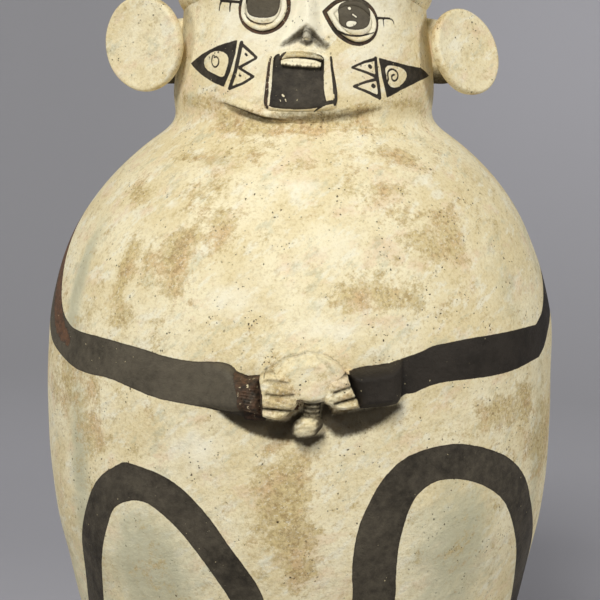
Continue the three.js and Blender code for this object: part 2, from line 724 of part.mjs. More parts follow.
for (const ear of EARS) {
  add(`${ear.name}_ear_lug`, earLug(ear), creamSlip);
  const disc = add(`${ear.name}_ear_disc`, earDisc(ear), creamSlip);
  disc.position.copy(discCentre(ear));
  disc.quaternion.setFromUnitVectors(new THREE.Vector3(0, 0, 1), discDirection(ear.yaw, ear.tilt));
}

for (const arm of ARMS) {
  add(`${arm.name}_forearm`, forearm(arm), darkSlip);
  add(`${arm.name}_hand`, hand(arm, 0, 0), creamSlip);
}
add('clasped_boss', claspedBoss(ARMS), creamSlip);
add('boss_stem', bossStem(), creamSlip);
add('boss_bulb', bossBulb(), creamSlip);

add('left_foot', foot(-1), creamSlip);
add('right_foot', foot(1), creamSlip);

export default vessel;
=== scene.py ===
"""Effigy vessel: the clay, slip paint and studio of a figure jar with a face on its neck.

Places on the jar are an angle from the front, towards +X, and a height. Lengths are in
millimetres until a mesh is written, and the viewer's left is -X. What the photograph shows is
given in its pixels and laid on the jar through the camera.
"""

import logging
import math
from dataclasses import dataclass, field
from enum import Enum
from functools import cached_property
from typing import Callable, Optional, Sequence

import bpy
import numpy as np
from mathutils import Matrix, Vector


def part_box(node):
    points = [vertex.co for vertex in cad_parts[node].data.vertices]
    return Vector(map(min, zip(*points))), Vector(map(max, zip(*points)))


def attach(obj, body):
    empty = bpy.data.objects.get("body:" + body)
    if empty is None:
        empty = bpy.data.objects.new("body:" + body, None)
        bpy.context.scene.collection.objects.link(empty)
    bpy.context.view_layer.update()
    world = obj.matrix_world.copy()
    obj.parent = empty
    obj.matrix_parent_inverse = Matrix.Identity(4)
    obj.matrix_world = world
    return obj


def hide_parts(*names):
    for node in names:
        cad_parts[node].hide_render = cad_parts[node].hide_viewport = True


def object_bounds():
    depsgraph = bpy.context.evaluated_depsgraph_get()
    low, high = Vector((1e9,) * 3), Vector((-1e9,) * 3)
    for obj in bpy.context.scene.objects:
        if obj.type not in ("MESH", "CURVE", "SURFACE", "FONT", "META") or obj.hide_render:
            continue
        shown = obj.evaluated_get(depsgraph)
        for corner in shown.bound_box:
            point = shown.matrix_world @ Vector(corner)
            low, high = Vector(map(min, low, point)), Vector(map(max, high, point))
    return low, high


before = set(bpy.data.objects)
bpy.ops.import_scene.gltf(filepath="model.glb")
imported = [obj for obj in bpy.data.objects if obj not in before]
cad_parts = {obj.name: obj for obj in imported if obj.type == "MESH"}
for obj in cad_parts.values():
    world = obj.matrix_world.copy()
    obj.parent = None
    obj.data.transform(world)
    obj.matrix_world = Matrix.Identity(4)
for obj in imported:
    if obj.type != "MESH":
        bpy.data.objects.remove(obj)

log = logging.getLogger("effigy vessel")

Array = np.ndarray
Pixel = tuple[float, float]
Raised = tuple[float, float, float]
Share = tuple[float, float]
Color = tuple[float, float, float, float]
Window = tuple[float, float, float, float]
Piece = bpy.types.Object

MM = 0.001
# A mark's edge is measured up to FAR, an unpainted place lies GROUND from any edge, and paint is a
# little dusty.
FAR = 20.0
GROUND = 6.0
SETTLED_DUST = 0.25
CAD_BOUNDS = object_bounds()


class Slot(Enum):
    """The record's material slots."""

    CREAM = "cream_slip"
    DARK = "dark_slip"
    CLAY = "bare_clay"


class Slip(Enum):
    """The slip that a mark is painted in."""

    DARK = "dark"
    CREAM = "cream"


def srgb(red: float, green: float, blue: float) -> Color:
    """A colour from its display values out of 255, as a linear colour.

    Args:
        red: its red.
        green: its green.
        blue: its blue.

    Returns:
        Its linear values, and 1 for opaque.
    """
    channels = [value / 255 for value in (red, green, blue)]
    linear = [c / 12.92 if c <= 0.04045 else ((c + 0.055) / 1.055) ** 2.4 for c in channels]
    return (*linear, 1.0)


def ease(low: float, high: float, value: Array) -> Array:
    """A smooth step of value, 0 at low and 1 at high."""
    t = np.clip((value - low) / (high - low), 0, 1)
    return t * t * (3 - 2 * t)


def curve_through(shares: Sequence[Share], place: Array) -> Array:
    """Reads a smooth curve through rows of place share and size share.

    Args:
        shares: the rows, in rising order of place.
        place: where to read, as shares.

    Returns:
        The size shares there.
    """
    rows = np.array(shares)
    last = len(rows) - 1
    at = np.clip(place, rows[0, 0], rows[last, 0])
    upper = np.clip(np.searchsorted(rows[:, 0], at), 1, last)
    lower = upper - 1
    index = np.arange(last + 1)
    before, after = rows[np.maximum(index - 1, 0)], rows[np.minimum(index + 1, last)]
    slope = (after[:, 1] - before[:, 1]) / (after[:, 0] - before[:, 0])
    span = rows[upper, 0] - rows[lower, 0]
    t = (at - rows[lower, 0]) / span
    start = rows[lower, 1] * (1 + 2 * t) * (1 - t) ** 2
    end = rows[upper, 1] * (3 - 2 * t) * t**2
    leaving = slope[lower] * span * t * (1 - t) ** 2
    arriving = slope[upper] * span * t**2 * (1 - t)
    return start + end + leaving - arriving


@dataclass(frozen=True)
class StudioCamera:
    """The photograph's camera: level with the neck, in front, and looking a little down."""

    distance: float = 1200.0
    height: float = 455.0
    focal_pixels: float = 2150.0
    image_pixels: float = 600.0
    drop_pixels: float = 302.0
    sensor: float = 36.0

    @property
    def pitch(self) -> float:
        """How far the camera looks down, in radians."""
        return math.atan(self.drop_pixels / self.focal_pixels)

    def ray(self, pixel: Pixel) -> Array:
        """The direction of the view through a pixel.

        Args:
            pixel: the pixel.

        Returns:
            A direction of length 1.
        """
        across = (pixel[0] - self.image_pixels / 2) / self.focal_pixels
        down = (pixel[1] - self.image_pixels / 2) / self.focal_pixels
        cos, sin = math.cos(self.pitch), math.sin(self.pitch)
        direction = np.array([across, cos - down * sin, -sin - down * cos])
        return direction / np.linalg.norm(direction)

    def build(self) -> None:
        """Makes the camera and makes it the scene's."""
        data = bpy.data.cameras.new("studio_camera")
        data.sensor_width = self.sensor
        data.lens = self.focal_pixels * self.sensor / self.image_pixels
        data.clip_end = 20
        camera = bpy.data.objects.new("studio_camera", data)
        camera.location = (0, -self.distance * MM, self.height * MM)
        camera.rotation_euler = (math.pi / 2 - self.pitch, 0, 0)
        bpy.context.collection.objects.link(camera)
        bpy.context.scene.camera = camera


@dataclass
class JarForm:
    """The jar's outer skin: a body, a neck tube and hand-made lumps."""

    trim: float = 0.73
    girth_place: float = 0.62
    neck_fillet: float = 9.0
    lump: float = 0.2
    body_shares: tuple[Share, ...] = (
        (0, 0.412), (0.039, 0.518), (0.078, 0.601), (0.155, 0.726), (0.233, 0.818), (0.297, 0.876),
        (0.375, 0.927), (0.452, 0.974), (0.53, 0.994), (0.62, 1), (0.711, 0.995), (0.762, 0.973),
        (0.814, 0.93), (0.866, 0.866), (0.917, 0.768), (0.961, 0.648), (1, 0.506))
    head_shares: tuple[Share, ...] = (
        (0, 0.978), (0.041, 0.984), (0.138, 1), (0.26, 0.984), (0.382, 0.949), (0.488, 0.928), (0.553, 0.935),
        (0.675, 0.953), (0.789, 0.973), (0.902, 0.995), (1, 1.014))
    lean_rows: tuple[tuple[float, float], ...] = (
        (0, 0), (120, -0.5), (250, -0.4), (275, 0.5), (320, -0.2), (350, 1.2), (375, 2.0), (400, 2.3),
        (440, 2.8), (510, 2.6))
    jaw_line: tuple[tuple[float, float, float, float], ...] = ()
    jaw_feather: float = 11.0

    def __post_init__(self) -> None:
        """Takes the driving sizes from the CAD nodes."""
        low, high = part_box("head_neck")
        self.seam = low[2] / MM
        self.head_radius = (high[0] - low[0]) / 2 / MM - self.trim
        self.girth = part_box("upper_body")[1][0] / MM - self.trim
        self.top = CAD_BOUNDS[1][2] / MM

    def lean(self, height: Array) -> Array:
        """How far the jar's axis stands off to the right at a height.

        Args:
            height: the height, or several.

        Returns:
            The distance for each.
        """
        rows = np.array(self.lean_rows)
        near = [np.interp(height + step, rows[:, 0], rows[:, 1]) for step in (-9, -4, 0, 4, 9)]
        return np.mean(near, axis=0)

    def smooth_radius(self, height: Array) -> Array:
        """The mean radius of the skin, with a fillet where the neck rises from the shoulder.

        Args:
            height: the height, or several.

        Returns:
            The radius for each.
        """
        height = np.asarray(height, float)
        low = np.minimum(height, self.seam)
        share = curve_through(self.body_shares, low / self.seam)
        foot = self.head_radius * self.head_shares[0][1]
        neck = self.body_shares[-1][1]
        closing = foot + (self.girth - foot) * (share - neck) / (1 - neck)
        body = np.where(low < self.seam * self.girth_place, self.girth * share, closing)
        body = body - 1.2 * np.maximum(height - self.seam, 0)
        place = (np.maximum(height, self.seam) - self.seam) / (self.top - self.seam)
        head = self.head_radius * curve_through(self.head_shares, place)
        mix = np.clip(0.5 + 0.5 * (body - head) / self.neck_fillet, 0, 1)
        return head + (body - head) * mix + self.neck_fillet * mix * (1 - mix)

    def around(self, height: float) -> float:
        """The mean radius at one height."""
        return float(self.smooth_radius(np.array([height]))[0])

    def slant(self, height: Array) -> Array:
        """Millimetres of skin for each millimetre of height."""
        slope = self.smooth_radius(height + 0.5) - self.smooth_radius(height - 0.5)
        return np.hypot(1, slope)

    def lumps(self, angle: Array, height: Array) -> Array:
        """The low swellings that coils and hands leave.

        Args:
            angle: angles from the front.
            height: heights.

        Returns:
            How far the skin swells out there.
        """
        waves = (np.sin(2 * angle + 0.021 * height + 0.4) + 0.8 * np.sin(3 * angle - 0.034 * height + 1.9)
                 + 0.7 * np.sin(5 * angle + 0.047 * height + 4.1) + 0.6 * np.sin(7 * angle - 0.061 * height)
                 + 0.7 * np.sin(0.165 * height + 0.9 * np.sin(angle + 0.7))
                 + 0.5 * np.sin(11 * angle + 0.11 * height))
        return self.lump * waves / 1.8

    def jaw_at(self, angle: Array) -> tuple[Array, ...]:
        """The jaw's height, swell and drop at some angles."""
        angles, *columns = np.array(self.jaw_line).T
        return tuple(np.interp(angle, angles, column) for column in columns)

    def jaw(self, angle: Array, height: Array) -> Array:
        """The overhang of the jaw: it feathers out up the face and drops sharply under its line.

        Args:
            angle: angles from the front.
            height: heights.

        Returns:
            How far the skin stands out there.
        """
        if not self.jaw_line:
            return np.zeros(np.shape(height))
        line, swell, drop = self.jaw_at(angle)
        rise = height - line
        above = np.exp(-((rise / self.jaw_feather) ** 2))
        below = 1 - ease(0, 1, -rise / drop)
        hollow = 0.4 * np.exp(-(((rise + 1.8 * drop) / (1.3 * drop)) ** 2))
        return swell * np.where(rise > 0, above, below - hollow)

    def radius(self, angle: Array, height: Array) -> Array:
        """The skin's radius with its lumps and the jaw."""
        return self.smooth_radius(height) + self.lumps(angle, height) + self.jaw(angle, height)

    def place(self, angle: Array, height: Array, out: Array) -> Array:
        """Points at some angles and heights, each at a distance out of the skin."""
        reach = self.radius(angle, height) + out
        return np.stack([self.lean(height) + reach * np.sin(angle), -reach * np.cos(angle), height], axis=-1)


@dataclass
class Places:
    """Points of a piece as places on the jar, with the local size of a radian and of a height."""

    angle: Array
    height: Array
    around: Array
    slant: Array

    @classmethod
    def of(cls, form: JarForm, points: Array) -> "Places":
        """The places under an array of points.

        Args:
            form: the jar's form.
            points: rows of three coordinates.

        Returns:
            The place of each.
        """
        height = points[:, 2]
        angle = np.arctan2(points[:, 0] - form.lean(height), -points[:, 1])
        return cls(angle, height, form.smooth_radius(height), form.slant(height))

    def near(self, route: Array, margin: float) -> Array:
        """Which places lie within a margin of a route's box.

        Args:
            route: the route's angles and heights.
            margin: the margin.

        Returns:
            True for each place that does.
        """
        middle = route[:, 0].mean()
        turn = np.abs((self.angle - middle + math.pi) % (2 * math.pi) - math.pi)
        reach = np.abs(route[:, 0] - middle).max()
        beside = turn * self.around < reach * self.around + margin
        level = (self.height > route[:, 1].min() - margin) & (self.height < route[:, 1].max() + margin)
        return beside & level

    def part(self, chosen: Array) -> "Places":
        """The chosen places."""
        return Places(self.angle[chosen], self.height[chosen], self.around[chosen], self.slant[chosen])

    def offset(self, point: Array) -> tuple[Array, Array]:
        """How far a point of a route lies to the right of each place and above it."""
        turn = (point[0] - self.angle + math.pi) % (2 * math.pi) - math.pi
        return turn * self.around, (point[1] - self.height) * self.slant


Relief = Callable[[Places], Array]


def rounded(points: Array, closed: bool, rounds: int) -> Array:
    """Cuts the corners of a route so that it runs like a brush line.

    Args:
        points: the route's points.
        closed: whether the route is a ring.
        rounds: how many times the corners are cut.

    Returns:
        The rounder route.
    """
    for _ in range(rounds):
        following = np.roll(points, -1, axis=0) if closed else points[1:]
        here = points if closed else points[:-1]
        pairs = np.stack([0.75 * here + 0.25 * following, 0.25 * here + 0.75 * following], axis=1)
        cut = pairs.reshape(-1, points.shape[1])
        points = cut if closed else np.vstack([points[:1], cut[1:-1], points[-1:]])
    return points


def beside(part: Places, start: Array, end: Array) -> tuple[Array, ...]:
    """How a straight stretch of a route lies from each place.

    Args:
        part: the places.
        start: the stretch's first angle and height.
        end: its last.

    Returns:
        The offsets of its two ends, the share of it that is nearest, and how far off that is.
    """
    (ax, ay), (bx, by) = part.offset(start), part.offset(end)
    dx, dy = bx - ax, by - ay
    t = np.clip(-(ax * dx + ay * dy) / np.maximum(dx * dx + dy * dy, 1e-9), 0, 1)
    return ax, ay, bx, by, t, np.hypot(ax + t * dx, ay + t * dy)


def from_line(places: Places, route: Array, widths: Array) -> tuple[Array, Array]:
    """Distances from a brush line of changing width.

    Args:
        places: where to measure.
        route: the line's angles and heights.
        widths: half the line's width at each of its points.

    Returns:
        The distance to the line's edge, negative inside, and the share of the route passed.
    """
    edge, passed = np.full(len(places.angle), FAR), np.zeros(len(places.angle))
    chosen = places.near(route, FAR)
    part = places.part(chosen)
    near, share = np.full(len(part.angle), FAR), np.zeros(len(part.angle))
    for index in range(len(route) - 1):
        *_, t, off = beside(part, route[index], route[index + 1])
        found = off - widths[index] - t * (widths[index + 1] - widths[index])
        closer = found < near
        near[closer] = found[closer]
        share[closer] = ((index + t) / (len(route) - 1))[closer]
    edge[chosen], passed[chosen] = near, share
    return edge, passed


def from_ring(places: Places, ring: Array) -> Array:
    """Signed distances from a closed outline, negative inside.

    Args:
        places: where to measure.
        ring: the outline's angles and heights.

    Returns:
        The distances.
    """
    edge = np.full(len(places.angle), FAR)
    chosen = places.near(ring, FAR)
    part = places.part(chosen)
    near = np.full(len(part.angle), FAR)
    inside = np.zeros(len(part.angle), bool)
    for index in range(len(ring)):
        ax, ay, bx, by, _, off = beside(part, ring[index], ring[(index + 1) % len(ring)])
        near = np.minimum(near, off)
        crosses = (ay > 0) != (by > 0)
        level = np.where(crosses, by - ay, 1)
        inside ^= crosses & (ax - ay * (bx - ax) / level > 0)
    edge[chosen] = np.where(inside, -near, near)
    return edge


@dataclass
class Tracer:
    """Lays pixels of the photograph on the jar."""

    camera: StudioCamera
    form: JarForm

    def touch(self, pixel: Pixel, lift: float = 0.0) -> tuple[float, float]:
        """Where the view through a pixel meets the jar.

        Args:
            pixel: the pixel.
            lift: how far out of the skin the seen surface lies.

        Returns:
            The angle and the height. Beside the jar they are those of the nearest skin.
        """
        camera = self.camera
        ray = camera.ray(pixel)
        start = np.array([0, -camera.distance, camera.height])
        flat = ray[:2]
        closest = -start[:2] @ flat / (flat @ flat)
        steps = np.linspace(closest - 190, closest, 240)
        points = start + steps[:, None] * ray
        off = np.hypot(points[:, 0] - self.form.lean(points[:, 2]), points[:, 1])
        gap = off - self.form.smooth_radius(points[:, 2]) - lift
        inside = np.flatnonzero(gap < 0)
        if len(inside) == 0 or inside[0] == 0:
            point = points[int(np.argmin(gap))]
        else:
            first = inside[0]
            share = gap[first - 1] / (gap[first - 1] - gap[first])
            point = points[first - 1] + share * (points[first] - points[first - 1])
        return math.atan2(point[0] - float(self.form.lean(point[2])), -point[1]), float(point[2])

    def route(self, *pixels: Pixel | Raised, lift: float = 0.0) -> Array:
        """The angles and heights of pixels, which share a distance out of the skin or have their own."""
        return np.array([self.touch(pixel[:2], (*pixel[2:], lift)[0]) for pixel in pixels])


def degrees(*places: tuple[float, float]) -> Array:
    """A route given in degrees from the front and heights, for what the photograph doesn't show."""
    return np.array([(math.radians(angle), height) for angle, height in places])


def halved(widths: float | Sequence[float], count: int) -> Array:
    """Half a line's width or widths, spread evenly over a number of points."""
    halves = np.atleast_1d(widths) / 2
    return np.interp(np.linspace(0, 1, count), np.linspace(0, 1, len(halves)), halves)


@dataclass
class Mark:
    """One painted area or brush line."""

    route: Array
    slip: Slip = Slip.DARK
    width: Optional[float | Sequence[float]] = None
    rounds: int = 1
    thin: float = 0.0
    worn: float = 0.04
    dust: float = SETTLED_DUST

    def edge(self, places: Places) -> Array:
        """The distance to the mark's edge, negative inside.

        Args:
            places: where to measure.

        Returns:
            The distances.
        """
        if self.width is None:
            return from_ring(places, rounded(self.route, True, self.rounds))
        halves = halved(self.width, len(self.route))
        joined = rounded(np.column_stack([self.route, halves]), False, self.rounds)
        return from_line(places, joined[:, :2], joined[:, 2])[0]


@dataclass
class Bloom:
    """A soft-edged stain, worn place or grey patch; some greys are painted shade. Below zero, a stain is a
    clean place, and in a few places painted light.
    """

    centre: tuple[float, float]
    half_width: float
    half_height: float
    strength: float

    def weight(self, places: Places) -> Array:
        """How strong it is at each place."""
        right, up = places.offset(np.array(self.centre))
        return self.strength * np.exp(-1.4 * ((right / self.half_width) ** 2 + (up / self.half_height) ** 2))


@dataclass
class Smudge:
    """Darkening along a line: soiling in a hollow, and painted shade under an overhang."""

    route: Array
    widths: Sequence[float]
    strength: float
    soft: float

    def weight(self, places: Places) -> Array:
        """How dark it paints each place."""
        edge, _ = from_line(places, self.route, halved(self.widths, len(self.route)))
        return self.strength * (1 - ease(-self.soft, self.soft, edge))


@dataclass
class Decoration:
    """All that is painted, stained and worn on one zone of the jar."""

    marks: list[Mark] = field(default_factory=list)
    stains: list[Bloom] = field(default_factory=list)
    greys: list[Bloom] = field(default_factory=list)
    wears: list[Bloom] = field(default_factory=list)
    dusts: list[Bloom] = field(default_factory=list)
    shade_and_soil_smudges: list[Smudge] = field(default_factory=list)


class Workbench:
    """Makes, shapes and finishes meshes: a primitive first, then its points and faces."""

    paint_reach: float = 0.8
    sunk: float = -0.55
    hidden: float = -0.5
    back: float = 1.6

    def __init__(self, form: JarForm) -> None:
        """Keeps the form of the skin that pieces lie on."""
        self.form = form

    @staticmethod
    def begin(name: str, primitive: Callable[..., object], **sizes: object) -> Piece:
        """Adds a primitive under a name.

        Args:
            name: the piece's name.
            primitive: Blender's operator for it.
            sizes: the operator's settings.

        Returns:
            The piece.
        """
        bpy.ops.object.select_all(action="DESELECT")
        primitive(**sizes)
        piece = bpy.context.object
        piece.name = piece.data.name = name
        return piece

    @staticmethod
    def points(piece: Piece) -> Array:
        """The piece's vertices in millimetres.

        Args:
            piece: the piece.

        Returns:
            Three coordinates for each.
        """
        flat = np.empty(len(piece.data.vertices) * 3)
        piece.data.vertices.foreach_get("co", flat)
        return flat.reshape(-1, 3) / MM

    @staticmethod
    def put(piece: Piece, points: Array) -> None:
        """Moves the piece's vertices to points in millimetres."""
        piece.data.vertices.foreach_set("co", (points * MM).astype(np.float32).ravel())
        piece.data.update()

    @staticmethod
    def choose(piece: Piece) -> None:
        """Makes the piece the one that operators work on.

        Args:
            piece: the piece.
        """
        bpy.ops.object.select_all(action="DESELECT")
        piece.select_set(True)
        bpy.context.view_layer.objects.active = piece

    def tidy(self, piece: Piece, operation: Callable[[], object]) -> None:
        """Edits one piece.

        Args:
            piece: the piece.
            operation: what to do while all of it is selected.
        """
        self.choose(piece)
        bpy.ops.object.mode_set(mode="EDIT")
        bpy.ops.mesh.select_all(action="SELECT")
        operation()
        bpy.ops.object.mode_set(mode="OBJECT")

    def smooth(self, piece: Piece, angle: float = 50.0) -> None:
        """Shades the piece smooth except over edges sharper than an angle in degrees."""
        self.choose(piece)
        bpy.ops.object.shade_smooth_by_angle(angle=math.radians(angle))

    def spun(self, name: str, section: Array, steps: int) -> Piece:
        """Spins a closed section of radii and heights round the jar's axis.

        Args:
            name: the piece's name.
            section: rows of radius and height.
            steps: the number of facets.

        Returns:
            The piece, about an upright axis.
        """
        piece = self.begin(name, bpy.ops.mesh.primitive_circle_add, vertices=len(section), radius=1)
        self.put(piece, np.column_stack([section[:, 0], np.zeros(len(section)), section[:, 1]]))

        def turn() -> None:
            """Spins the ring, closes it and turns its faces outward."""
            bpy.ops.mesh.spin(steps=steps, angle=2 * math.pi, center=(0, 0, 0), axis=(0, 0, 1))
            bpy.ops.mesh.select_all(action="SELECT")
            bpy.ops.mesh.remove_doubles(threshold=1e-6)
            bpy.ops.mesh.normals_make_consistent(inside=False)

        self.tidy(piece, turn)
        return piece

    def follow_skin(self, piece: Piece) -> None:
        """Gives a spun piece the jar's lumps, jaw and lean, inside and out.

        Args:
            piece: the piece.
        """
        points = self.points(piece)
        height = points[:, 2]
        angle = np.arctan2(points[:, 0], -points[:, 1])
        reach = np.hypot(points[:, 0], points[:, 1])
        smooth = self.form.smooth_radius(height)
        share = np.clip(reach / smooth, 0, 1)
        out = reach - smooth - (1 - share) * (self.form.radius(angle, height) - smooth)
        self.put(piece, self.form.place(angle, height, out))

    def laid(self, name: str, window: Window, step: float, relief: Relief) -> Piece:
        """Lays a modelled patch of clay on the jar and gives it a back.

        Args:
            name: the piece's name.
            window: its least and greatest angle, then its least and greatest height.
            step: the spacing of its grid.
            relief: gives the distance out of the skin, below zero where it ends.

        Returns:
            The piece.
        """
        left, right, bottom, top = window
        around = self.form.around((bottom + top) / 2)
        columns = max(int((right - left) * around / step), 4)
        rows = max(int((top - bottom) / step), 4)
        piece = self.begin(
            name, bpy.ops.mesh.primitive_grid_add, x_subdivisions=columns, y_subdivisions=rows, size=2)
        points = self.points(piece) * MM
        angle = left + (points[:, 0] + 1) / 2 * (right - left)
        height = bottom + (points[:, 1] + 1) / 2 * (top - bottom)
        places = Places(angle, height, self.form.smooth_radius(height), self.form.slant(height))
        out = np.maximum(relief(places), self.sunk)
        self.put(piece, self.form.place(angle, height, out))
        self.cut_hidden(piece, out < self.hidden)
        wall = piece.modifiers.new("back", "SOLIDIFY")
        wall.thickness = self.back * MM
        bpy.ops.object.modifier_apply(modifier=wall.name)
        self.smooth(piece)
        return piece

    @staticmethod
    def cut_hidden(piece: Piece, hidden: Array) -> None:
        """Deletes the faces whose corners are all hidden under the skin.

        Args:
            piece: the piece.
            hidden: whether each vertex is hidden.
        """
        mesh = piece.data
        corners = np.empty(len(mesh.loops), int)
        mesh.loops.foreach_get("vertex_index", corners)
        buried = hidden[corners].reshape(len(mesh.polygons), -1).all(axis=1)
        bpy.ops.object.mode_set(mode="EDIT")
        bpy.ops.mesh.select_all(action="DESELECT")
        bpy.ops.mesh.select_mode(type="FACE")
        bpy.ops.object.mode_set(mode="OBJECT")
        mesh.polygons.foreach_set("select", buried)
        bpy.ops.object.mode_set(mode="EDIT")
        bpy.ops.mesh.delete(type="FACE")
        bpy.ops.mesh.select_mode(type="VERT")
        bpy.ops.object.mode_set(mode="OBJECT")

    @staticmethod
    def write(piece: Piece, name: str, values: Array | float) -> None:
        """Keeps one value for each vertex under a name that the finishes read."""
        layer = piece.data.attributes.new(name, "FLOAT", "POINT")
        layer.data.foreach_set("value", np.full(len(layer.data), values, np.float32))

    def paint(self, piece: Piece, painted: Decoration, bare: Array | float, painted_shade_and_soil: Array | float) -> None:
        """Works out the slip, stains, wear, soiling and painted shade of a piece at each of its vertices.

        Args:
            piece: the piece.
            painted: what is painted where it lies.
            bare: how bare of slip each vertex is.
            painted_shade_and_soil: how dark each vertex is painted, for soiling and for shade.
        """
        places = Places.of(self.form, self.points(piece))
        count = len(places.angle)
        edge, thin = np.full(count, GROUND), np.zeros(count)
        worn, dust = np.zeros(count), np.full(count, SETTLED_DUST)
        for mark in painted.marks:
            found = mark.edge(places)
            if mark.slip is Slip.DARK:
                closer = found < self.paint_reach
                thin = np.where(closer, mark.thin, thin)
                worn = np.where(closer, mark.worn, worn)
                dust = np.where(closer, mark.dust, dust)
                edge = np.minimum(edge, found)
            else:
                edge = np.maximum(edge, -found)
        self.write(piece, "slip_edge", edge)
        self.write(piece, "thin", thin)
        for name, blooms in (("stain", painted.stains), ("grey", painted.greys)):
            clear, paler = np.ones(count), np.zeros(count)
            for bloom in blooms:
                weight = bloom.weight(places)
                clear *= 1 - np.clip(weight, 0, 1)
                paler += np.minimum(weight, 0)
            self.write(piece, name, 1 - clear + paler)
        for bloom in painted.wears:
            worn = np.maximum(worn, bloom.weight(places))
        for bloom in painted.dusts:
            dust = dust + bloom.weight(places)
        for smudge in painted.shade_and_soil_smudges:
            painted_shade_and_soil = np.maximum(painted_shade_and_soil, smudge.weight(places))
        for name, values in (("worn", worn), ("dust", dust), ("bare", bare), ("painted_shade_and_soil", painted_shade_and_soil)):
            self.write(piece, name, values)

    @staticmethod
    def hand_over(piece: Piece, node: str, slot: Slot, material: bpy.types.Material) -> None:
        """Dresses a finished piece and lets it stand for its CAD node.

        Args:
            piece: the piece.
            node: the CAD node that it replaces.
            slot: the record's slot; not used.
            material: its finish.
        """
        piece.data.materials.append(material)
        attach(piece, "root")
        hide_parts(node)
        log.info("%s: %d triangles", piece.name, sum(len(face.vertices) - 2 for face in piece.data.polygons))


@dataclass(frozen=True)
class Value:
    """A number or colour that a shader works out, so that sums of them read as plain arithmetic."""

    nodes: "Nodes"
    socket: bpy.types.NodeSocket

    def __add__(self, other: "Value | float") -> "Value":
        """The sum of both."""
        return self.nodes.sum("ADD", self, other)

    def __sub__(self, other: "Value | float") -> "Value":
        """What is left of this one without the other."""
        return self.nodes.sum("SUBTRACT", self, other)

    def __rsub__(self, other: float) -> "Value":
        """What is left of a number without this one."""
        return self.nodes.sum("SUBTRACT", other, self)

    def __mul__(self, other: "Value | float") -> "Value":
        """The product of both."""
        return self.nodes.sum("MULTIPLY", self, other)

    def step(self, low: "Value | float", high: "Value | float") -> "Value":
        """A smooth step of it, 0 at low and 1 at high."""
        step = self.nodes.add("ShaderNodeMapRange", interpolation_type="SMOOTHSTEP", clamp=True)
        return self.nodes.fed(step, {"Value": self, "From Min": low, "From Max": high}, "Result")


Input = Value | float | Color


